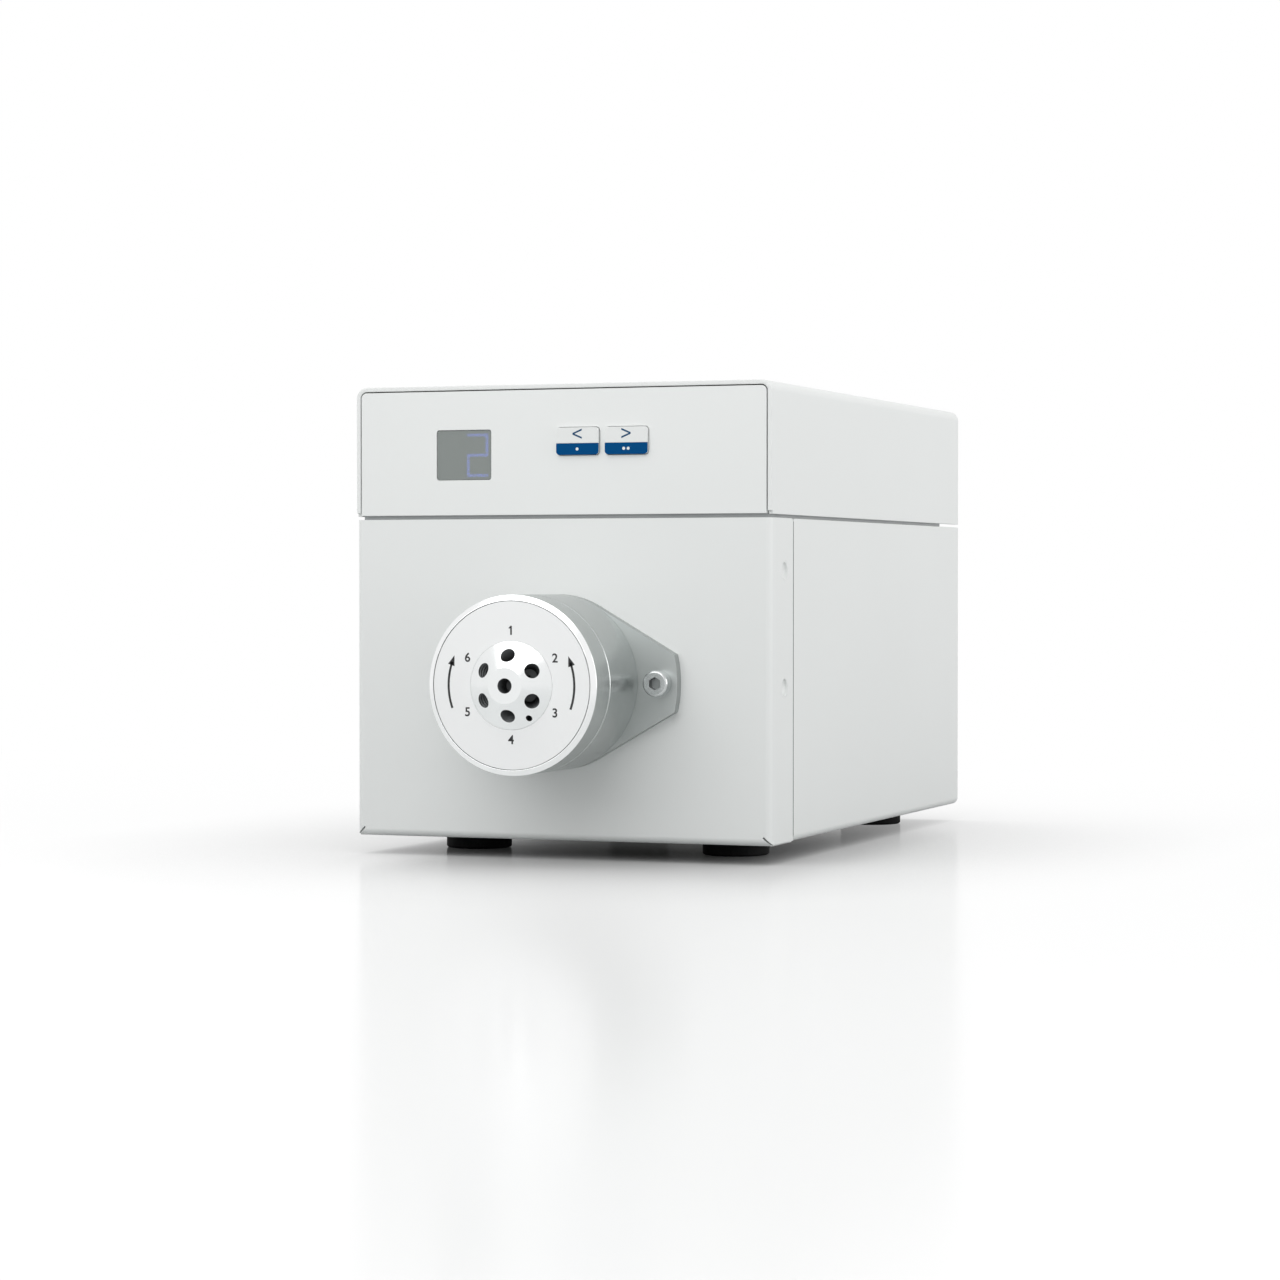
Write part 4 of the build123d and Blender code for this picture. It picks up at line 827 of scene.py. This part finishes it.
def make_window():
    """The display's pane, a little behind the plate's face, with its lip behind the plate."""
    pane = rounded_block(
        WINDOW_LEFT + SNUG,
        WINDOW_RIGHT - SNUG,
        WINDOW_RECESS,
        FASCIA_SHEET,
        WINDOW_LOW + SNUG,
        WINDOW_TOP - SNUG,
        WINDOW_CORNER,
    )
    lip = rounded_block(
        WINDOW_LEFT - WINDOW_LIP,
        WINDOW_RIGHT + WINDOW_LIP,
        FASCIA_SHEET,
        WINDOW_LIP_BACK,
        WINDOW_LOW - WINDOW_LIP,
        WINDOW_TOP + WINDOW_LIP,
        WINDOW_CORNER,
    )
    fuse(pane, lip)
    soften(pane, WINDOW_EDGE)
    finish(pane, "smoked_window", "window_grey", "housing", "display_window")


def write(text, height, place, thicken=0.0):
    """Printed characters, as a thin layer of ink that faces the front."""
    deselect()
    # Drawn large, because small curves don't fill cleanly, and brought to millimetres as a mesh.
    bpy.ops.object.text_add(location=(0, 0, 0))
    words = bpy.context.object
    words.data.body = text
    words.data.size = height / CAPITAL_SHARE
    words.data.align_x = "CENTER"
    words.data.align_y = "CENTER"
    words.data.extrude = INK / 2
    words.data.offset = thicken
    pick(words)
    bpy.ops.object.convert(target="MESH")
    words = bpy.context.object
    words.scale = (MM, MM, MM)
    return put(apply_place(words), place, TO_FRONT)


def make_key(side, left):
    """A key cap with a soft crown, its coloured band, and the marks printed on both."""
    body = side + "_button"
    across, up = key_limits(left, 0)
    cap = rounded_block(*across, -KEY_STAND, KEY_LIP_BACK, *up, KEY_CORNER)
    past = (left - CLEAR, left + KEY_WIDTH + CLEAR)
    band_back = KEY_BAND_SHEET - KEY_STAND
    cut(cap, block(*past, -2 * CLEAR, band_back, KEY_LOW - CLEAR, KEY_BAND_TOP))
    soften(cap, KEY_EDGE, 3)
    across, up = key_limits(left, KEY_GAP + KEY_LIP)
    lip = rounded_block(*across, KEY_LIP_FRONT, KEY_LIP_BACK, *up, KEY_CORNER)
    middle = left + KEY_WIDTH / 2
    stem = rod(KEY_STEM_RADIUS, KEY_LIP_BACK - SNUG, KEY_STEM_BACK, middle, (KEY_LOW + KEY_TOP) / 2)
    cap = join(cap, soften(lip, KEY_LIP_EDGE), soften(stem, KEY_STEM_EDGE))
    finish(cap, side + "_key_cap", "key_white", body, side + "_key")

    across, up = key_limits(left, 0)
    band = rounded_block(*across, -KEY_STAND, band_back, *up, KEY_CORNER)
    cut(band, block(*past, -2 * CLEAR, CLEAR, KEY_BAND_TOP, KEY_TOP + CLEAR))
    soften(band, KEY_BAND_EDGE)
    finish(band, side + "_key_stripe", "key_blue", body, side + "_key_band")

    face = -KEY_STAND - INK / 2
    arrow = write("<" if side == "left" else ">", KEY_MARK_HEIGHT, (middle, face, KEY_MARK_Z))
    finish(arrow, side + "_key_arrow", "key_blue", body, ink=BLUE_INK)
    count = 1 if side == "left" else 2
    dots = []
    for index in range(count):
        x = middle + (index - (count - 1) / 2) * KEY_DOT_PITCH
        z = (KEY_LOW + KEY_BAND_TOP) / 2
        dots.append(rod(KEY_DOT_RADIUS, -KEY_STAND - INK, -KEY_STAND, x, z, 32))
    finish(join(*dots), side + "_key_dots", "key_white", body)


# ---- valve head ------------------------------------------------------------------------
def from_axis(spot):
    """How many millimetres a point is from the valve's axis."""
    return math.hypot(spot.x, spot.z - AXIS_Z * MM) / MM


def make_flange():
    """The round flange with two ears, cut from one plate."""
    plate = rod(FLANGE_END, FLANGE_FACE, 0, 0, AXIS_Z, 192)
    slope = math.radians(FLANGE_SLOPE)
    for across in (-1, 1):
        for up in (-1, 1):
            away = Vector((across * math.sin(slope), 0, up * math.cos(slope)))
            edit_faces(plate, lambda normal: True)
            bpy.ops.mesh.bisect(
                plane_co=at(0, 0, AXIS_Z) + away * VALVE_RADIUS * MM,
                plane_no=away,
                use_fill=True,
                clear_outer=True,
            )
    for up in (-1, 1):
        edit_faces(plate, lambda normal: True)
        bpy.ops.mesh.bisect(
            plane_co=at(0, 0, AXIS_Z + up * VALVE_RADIUS * math.cos(slope)),
            plane_no=(0, 0, up),
            use_fill=True,
            clear_outer=True,
        )
    deselect()
    fuse(plate, rod(VALVE_RADIUS, FLANGE_FACE, 0, 0, AXIS_Z, 192))
    through = (FLANGE_FACE - CLEAR, CLEAR)
    cut(plate, rod(PILOT_RADIUS + SNUG, *through, 0, AXIS_Z, 96))
    for side in (-1, 1):
        cut(plate, rod(SCREW_HOLE, *through, side * FLANGE_SCREW_X, AXIS_Z))
    soften(plate, FLANGE_EDGE, 3)
    # The flange gets the darker steel, partly painted shade.
    finish(plate, "milled_flange", "stainless", "housing", "flange_plate", ink=FLANGE_STEEL_AND_SHADE)


def make_flange_screws():
    """Socket-head cap screws, with a chamfered head and a hexagon socket."""
    under_head = -FLANGE_FACE
    top = under_head + SCREW_HEAD_HEIGHT
    profile = [
        (SCREW_RADIUS - SCREW_POINT, -SCREW_END),
        (SCREW_RADIUS, SCREW_POINT - SCREW_END),
        (SCREW_RADIUS, under_head),
        (SCREW_HEAD_RADIUS, under_head),
        (SCREW_HEAD_RADIUS, top - SCREW_HEAD_CHAMFER),
        (SCREW_HEAD_RADIUS - SCREW_HEAD_CHAMFER, top),
    ]
    screw = turned(profile, sides=64)
    deselect()
    bpy.ops.mesh.primitive_cylinder_add(
        vertices=6,
        radius=SOCKET_RADIUS * MM,
        depth=2 * SOCKET_DEPTH * MM,
        location=(0, 0, top * MM),
    )
    cut(screw, apply_place(bpy.context.object))
    places = [(side * FLANGE_SCREW_X, 0, AXIS_Z) for side in (-1, 1)]
    screws = repeated(soften(screw, SCREW_EDGE), places, [TO_FRONT] * len(places))
    finish(screws, "flange_cap_screws", "screw_steel", "housing", "flange_screws")
    below_top = at(0, TOUCH - top, 0).y

    def in_socket(spot, normal):
        x = abs(spot.x) / MM - FLANGE_SCREW_X
        z = spot.z / MM - AXIS_Z
        return spot.y > below_top and math.hypot(x, z) < SOCKET_RADIUS

    # The sockets get a darker grey as painted shade.
    second_finish(screws, SOCKET_PAINTED_SHADE, in_socket)


def make_valve_body():
    """The turned body: a pilot behind, a spigot for the ring, and the rotor's bore."""
    profile = [
        (PILOT_RADIUS, PILOT_BACK),
        (PILOT_RADIUS, FLANGE_FACE),
        (VALVE_RADIUS, FLANGE_FACE),
        (VALVE_RADIUS, RING_JOINT + JOINT_CHAMFER),
        (VALVE_RADIUS - JOINT_CHAMFER, RING_JOINT),
        (SPIGOT_RADIUS, RING_JOINT),
        (SPIGOT_RADIUS, RING_LIP + SPIGOT_GAP),
        (STATOR_SEAT, RING_LIP + SPIGOT_GAP),
        (STATOR_SEAT, SEAL_FACE),
        (ROTOR_BORE, SEAL_FACE),
        (ROTOR_BORE, NUT_FRONT),
        (NUT_BORE, NUT_FRONT),
        (NUT_BORE, PILOT_BACK),
    ]
    body = soften(head_piece(profile, ring=True), BODY_EDGE)
    finish(body, "turned_valve_body", "stainless", "housing", "valve_body")


def make_clamp_ring():
    """The plain ring that clamps the stator, with a painted highlight on the chamfer at its front.
    """
    profile = [
        (SPIGOT_RADIUS + RUNNING_FIT, RING_JOINT),
        (VALVE_RADIUS - JOINT_CHAMFER / 2, RING_JOINT),
        (VALVE_RADIUS, RING_JOINT - JOINT_CHAMFER / 2),
        (VALVE_RADIUS, DIAL_FACE + RING_CHAMFER),
        (VALVE_RADIUS - RING_CHAMFER_WIDTH, DIAL_FACE),
        (RING_RECESS, DIAL_FACE),
        (RING_RECESS, DIAL_FACE + DIAL_SHEET),
        (RING_LIP_BORE, DIAL_FACE + DIAL_SHEET),
        (RING_LIP_BORE, RING_LIP),
        (SPIGOT_RADIUS + RUNNING_FIT, RING_LIP),
    ]
    ring = soften(head_piece(profile, ring=True), RING_EDGE)
    finish(ring, "turned_clamp_ring", "stainless", "housing", "clamp_ring")

    def on_chamfer(spot, normal):
        return normal.y < -0.5 and from_axis(spot) > RING_RECESS

    # The chamfer's faces get the painted highlight.
    second_finish(ring, CHAMFER_PAINTED_HIGHLIGHT, on_chamfer)


def make_dial():
    """The flat dial plate that lies in the ring's recess."""
    inner = HUB_RADIUS + RUNNING_FIT
    profile = [(inner, DIAL_FACE + DIAL_SHEET), (DIAL_RADIUS, DIAL_FACE + DIAL_SHEET)]
    profile += [(DIAL_RADIUS, DIAL_FACE), (inner, DIAL_FACE)]
    dial = soften(head_piece(profile, ring=True), DIAL_EDGE)
    finish(dial, "enamelled_dial", "dial_white", "housing", "dial_plate")


def threaded_cutter():
    """A cutter for one port: the core drill with the thread's grooves standing out."""
    groove = PORT_RADIUS + THREAD_DEPTH
    profile = [(PASSAGE_RADIUS, -PASSAGE_END), (PASSAGE_RADIUS, -PORT_DEPTH)]
    profile.append((PORT_RADIUS, -PORT_DEPTH))
    height = THREAD_START - PORT_DEPTH
    while height < -THREAD_PITCH:
        profile += [(PORT_RADIUS, height), (groove, height + GROOVE_FLOOR)]
        profile += [(groove, height + GROOVE_FLOOR_END), (PORT_RADIUS, height + GROOVE_END)]
        height += THREAD_PITCH
    profile += [(PORT_RADIUS, -THREAD_RELIEF), (PORT_RADIUS, 2 * CLEAR)]
    return turned(profile, sides=48)


def darken_bores(stator, slope):
    """Gives the walls inside the ports a dark steel as painted shade, for the little light that
    reaches them.
    """
    nose = at(0, VALVE_NOSE + TOUCH, 0).y

    def in_bore(spot, normal):
        radius = from_axis(spot)
        cone = DIAL_FACE - (HUB_RADIUS - radius) * math.tan(slope)
        behind = spot.y > max(nose, at(0, cone + BORE_MARGIN, 0).y)
        return behind and radius < HUB_RADIUS - BORE_MARGIN

    second_finish(stator, PORT_PAINTED_SHADE, in_bore)


def make_stator():
    """The coned front piece: six threaded ports square to the cone, and one on the axis."""
    profile = [
        (STATOR_FLANGE, SEAL_FACE),
        (STATOR_FLANGE, RING_LIP),
        (HUB_RADIUS, RING_LIP),
        (HUB_RADIUS, DIAL_FACE),
        (HUB_FLAT, VALVE_NOSE),
    ]
    stator = head_piece(profile)
    slope = math.atan2(DIAL_FACE - VALVE_NOSE, HUB_RADIUS - HUB_FLAT)
    mouth = DIAL_FACE - (HUB_RADIUS - PORT_RING) * math.tan(slope)
    drill = threaded_cutter()
    lean = Matrix.Translation(Vector((PORT_RING, mouth, 0)) * MM) @ Matrix.Rotation(slope, 4, "Z")
    for index in range(PORTS):
        around = Matrix.Rotation(math.radians(index * 360 / PORTS - 90), 4, "Y")
        cut(stator, put(copied(drill), (0, 0, AXIS_Z), around @ lean @ TO_FRONT))
    cut(stator, put(drill, (0, VALVE_NOSE, AXIS_Z), TO_FRONT))
    angle = math.radians(LOCATING_ANGLE)
    x = LOCATING_RING * math.cos(angle)
    z = AXIS_Z + LOCATING_RING * math.sin(angle)
    cut(stator, rod(LOCATING_RADIUS, VALVE_NOSE - CLEAR, DIAL_FACE + LOCATING_DEPTH, x, z, 32))
    soften(stator, STATOR_EDGE)
    finish(stator, "ported_stator", "stator_steel", "housing", "stator")
    darken_bores(stator, slope)


def flag_of_one():
    """The slanting flag at the top of the figure one, about its top."""
    deselect()
    bpy.ops.mesh.primitive_cube_add(size=1, scale=Vector((FLAG_LENGTH, FLAG_STROKE, INK)) * MM)
    flag = apply_place(bpy.context.object)
    slant = Matrix.Rotation(math.radians(FLAG_SLANT), 4, "Z")
    flag.matrix_world = Matrix.Translation(Vector(FLAG_PLACE) * MM) @ slant
    return apply_place(flag)


def dial_arrow(side, face):
    """The shaft and the head of the curved arrow printed on that side of the dial."""
    deselect()
    bpy.ops.mesh.primitive_plane_add(size=1, location=at(side * ARROW_RING, face, AXIS_Z))
    line = bpy.context.object
    line.scale = (ARROW_STROKE * MM, INK * MM, 1)
    apply_place(line)
    half = math.radians(ARROW_SPAN / 2)
    centre = at(0, face, AXIS_Z)
    to_centre = Matrix.Translation(centre)
    line.data.transform(to_centre @ Matrix.Rotation(side * half, 4, "Y") @ to_centre.inverted())
    edit_faces(line, lambda normal: True)
    bpy.ops.mesh.spin(steps=40, angle=2 * half, center=centre, axis=(0, side, 0))
    bpy.ops.mesh.select_all(action="SELECT")
    bpy.ops.mesh.normals_make_consistent(inside=False)
    deselect()
    bpy.ops.mesh.primitive_cylinder_add(vertices=3, radius=ARROW_HEAD * MM, depth=INK * MM)
    head = bpy.context.object
    head.scale = (ARROW_SLIMNESS, 1, 1)
    x = side * ARROW_RING * math.cos(half)
    z = AXIS_Z + ARROW_RING * math.sin(half)
    tip = Matrix.Rotation(-side * half, 4, "Y") @ TO_FRONT
    return line, put(apply_place(head), (x, face, z), tip)


def make_dial_print():
    """The ports' numbers, and two plain arrows for the two ways the valve switches."""
    face = DIAL_FACE - INK / 2
    numbers = []
    for index in range(PORTS):
        angle = math.radians(90 - index * 360 / PORTS)
        x = NUMBER_RING * math.cos(angle)
        z = AXIS_Z + NUMBER_RING * math.sin(angle)
        numbers.append(write(str(index + 1), NUMBER_HEIGHT, (x, face, z), NUMBER_BOLDNESS))
    flag_place = (0, face, AXIS_Z + NUMBER_RING + NUMBER_HEIGHT / 2)
    numbers.append(put(flag_of_one(), flag_place, TO_FRONT))
    finish(join(*numbers), "dial_numbers", "disc_black", "housing")
    arrows = [*dial_arrow(-1, face), *dial_arrow(1, face)]
    finish(join(*arrows), "dial_arrows", "disc_black", "housing")


make_front_panel()
make_tray()
make_hood()
make_rivets()
make_feet()
make_fascia()
make_window()
for key_side, key_left in KEY_LEFTS.items():
    make_key(key_side, key_left)
make_flange()
make_flange_screws()
make_valve_body()
make_clamp_ring()
make_dial()
make_stator()
make_dial_print()


# ---- camera, light and floor -----------------------------------------------------------
CAMERA_PLACE = (343.7, -854.2, 75.7)
CAMERA_TURN = 20.562
CAMERA_DIP = 0.999
CAMERA_LENS = 95.59

camera_data = bpy.data.cameras.new("camera")
camera_data.lens = CAMERA_LENS
camera_data.sensor_width = 36.0
camera_data.clip_start = 0.01
camera = bpy.data.objects.new("camera", camera_data)
bpy.context.scene.collection.objects.link(camera)
camera.location = at(*CAMERA_PLACE)
camera.rotation_euler = (math.radians(90 - CAMERA_DIP), 0, math.radians(CAMERA_TURN))
bpy.context.scene.camera = camera


TABLE_SIZE = 30000
TABLE_GLOSS = 0.3
CONTACT_REACH = 110
CONTACT_SHARE = 0.7
TABLE_FADE = (-60, 380)
TABLE_EDGE = (600, 1500)
TABLE_SHADE = (200, 900)
AMBIENT = 0.55


def softbox(name, place, target, size, power, mirrored=True):
    """A square studio lamp, in millimetres and watts, aimed at a target."""
    data = bpy.data.lights.new(name, "AREA")
    data.shape = "SQUARE"
    data.size = size * MM
    data.energy = power
    lamp = bpy.data.objects.new(name, data)
    bpy.context.scene.collection.objects.link(lamp)
    lamp.location = at(*place)
    lamp.rotation_euler = (at(*target) - lamp.location).to_track_quat("-Z", "Y").to_euler()
    lamp.visible_glossy = mirrored


softbox("key_softbox", (-300, -1100, 1250), (0, -30, 50), 2200, 21.5)
softbox("side_softbox", (1300, 74, 220), (0, 100, 60), 900, 7.7)
softbox("back_softbox", (-1300, 1300, 600), (0, 190, 70), 700, 9, mirrored=False)

world = bpy.data.worlds.new("studio")
bpy.context.scene.world = world
world.use_nodes = True
world_tree = world.node_tree
world_tree.nodes.clear()
rays = add_node(world_tree, "ShaderNodeLightPath").outputs
white = (1, 1, 1, 1)
ambient = add_node(world_tree, "ShaderNodeBackground", {"Color": white, "Strength": AMBIENT})
backdrop = add_node(world_tree, "ShaderNodeBackground", {"Color": white, "Strength": 1.0})
# The camera, the mirrors and the window see a white studio, and the rest is lit more softly.
mirrored = {0: rays["Is Glossy Ray"], 1: rays["Is Transmission Ray"]}
mirrored = add_node(world_tree, "ShaderNodeMath", mirrored, operation="MAXIMUM")
seen = {0: rays["Is Camera Ray"], 1: mirrored.outputs[0]}
seen = add_node(world_tree, "ShaderNodeMath", seen, operation="MAXIMUM")
sky = {0: seen.outputs[0], 1: ambient.outputs[0], 2: backdrop.outputs[0]}
sky = add_node(world_tree, "ShaderNodeMixShader", sky)
add_node(world_tree, "ShaderNodeOutputWorld", {"Surface": sky.outputs[0]})


def make_table():
    """A white lacquered table top: faintly glossy close by, and lost in the backdrop far off."""
    deselect()
    bpy.ops.mesh.primitive_plane_add(size=TABLE_SIZE * MM, location=(0, 0, 0))
    table = bpy.context.object
    table.name = "table_top"
    material, tree, place = start_material("white_lacquered_table")
    rays = add_node(tree, "ShaderNodeLightPath").outputs
    tone = varied(tree, place, "#F8F9F9", "#FAFAFA", 200)
    white = add_node(tree, "ShaderNodeBsdfDiffuse", {"Color": tone})
    # The lamps' long shadows are faint on it, and the soft one where the object stands is dark.
    near = {"Color": (1, 1, 1, 1), "Distance": CONTACT_REACH * MM}
    near = add_node(tree, "ShaderNodeAmbientOcclusion", near, samples=8)
    contact = {"Color": near.outputs["Color"], "Strength": 1.0}
    contact = add_node(tree, "ShaderNodeEmission", contact)
    white = {0: CONTACT_SHARE, 1: white.outputs[0], 2: contact.outputs[0]}
    white = add_node(tree, "ShaderNodeMixShader", white)
    gloss = add_node(tree, "ShaderNodeBsdfGlossy", {"Color": (1, 1, 1, 1), "Roughness": 0.16})
    lacquer = {0: TABLE_GLOSS, 1: white.outputs[0], 2: gloss.outputs[0]}
    lacquer = add_node(tree, "ShaderNodeMixShader", lacquer)
    # Behind the object and far off the table is as white as the backdrop, so no horizon shows.
    depth = add_node(tree, "ShaderNodeSeparateXYZ", {"Vector": place}).outputs["Y"]
    fade = {"Value": depth, "From Min": TABLE_FADE[0] * MM, "From Max": TABLE_FADE[1] * MM}
    behind = add_node(tree, "ShaderNodeMapRange", fade, interpolation_type="SMOOTHSTEP")
    away = add_node(tree, "ShaderNodeVectorMath", {0: place}, operation="LENGTH").outputs["Value"]
    fade = {"Value": away, "From Min": TABLE_EDGE[0] * MM, "From Max": TABLE_EDGE[1] * MM}
    outer = add_node(tree, "ShaderNodeMapRange", fade, interpolation_type="SMOOTHSTEP")
    fade = {0: behind.outputs["Result"], 1: outer.outputs["Result"]}
    fade = add_node(tree, "ShaderNodeMath", fade, operation="MAXIMUM")
    backdrop = add_node(tree, "ShaderNodeEmission", {"Color": (1, 1, 1, 1), "Strength": 1.0})
    seen = {0: fade.outputs[0], 1: lacquer.outputs[0], 2: backdrop.outputs[0]}
    seen = add_node(tree, "ShaderNodeMixShader", seen)
    # The object itself is lit and mirrored by a table that is grey close by and white further off.
    shade = {"Value": away, "From Min": TABLE_SHADE[0] * MM, "From Max": TABLE_SHADE[1] * MM}
    shade = add_node(tree, "ShaderNodeMapRange", shade)
    grey = add_node(tree, "ShaderNodeMix", {"Factor": rays["Is Glossy Ray"]}, data_type="RGBA")
    grey.inputs["A"].default_value = linear("#A8AAAA")
    grey.inputs["B"].default_value = linear("#EEEFEF")
    grey = add_node(tree, "ShaderNodeBsdfDiffuse", {"Color": grey.outputs["Result"]})
    unseen = {0: shade.outputs["Result"], 1: grey.outputs[0], 2: backdrop.outputs[0]}
    unseen = add_node(tree, "ShaderNodeMixShader", unseen)
    both = {0: rays["Is Camera Ray"], 1: unseen.outputs[0], 2: seen.outputs[0]}
    close_material(material, tree, add_node(tree, "ShaderNodeMixShader", both), None, 0)
    paint(table, material)


make_table()
bpy.context.scene.view_settings.view_transform = "Standard"
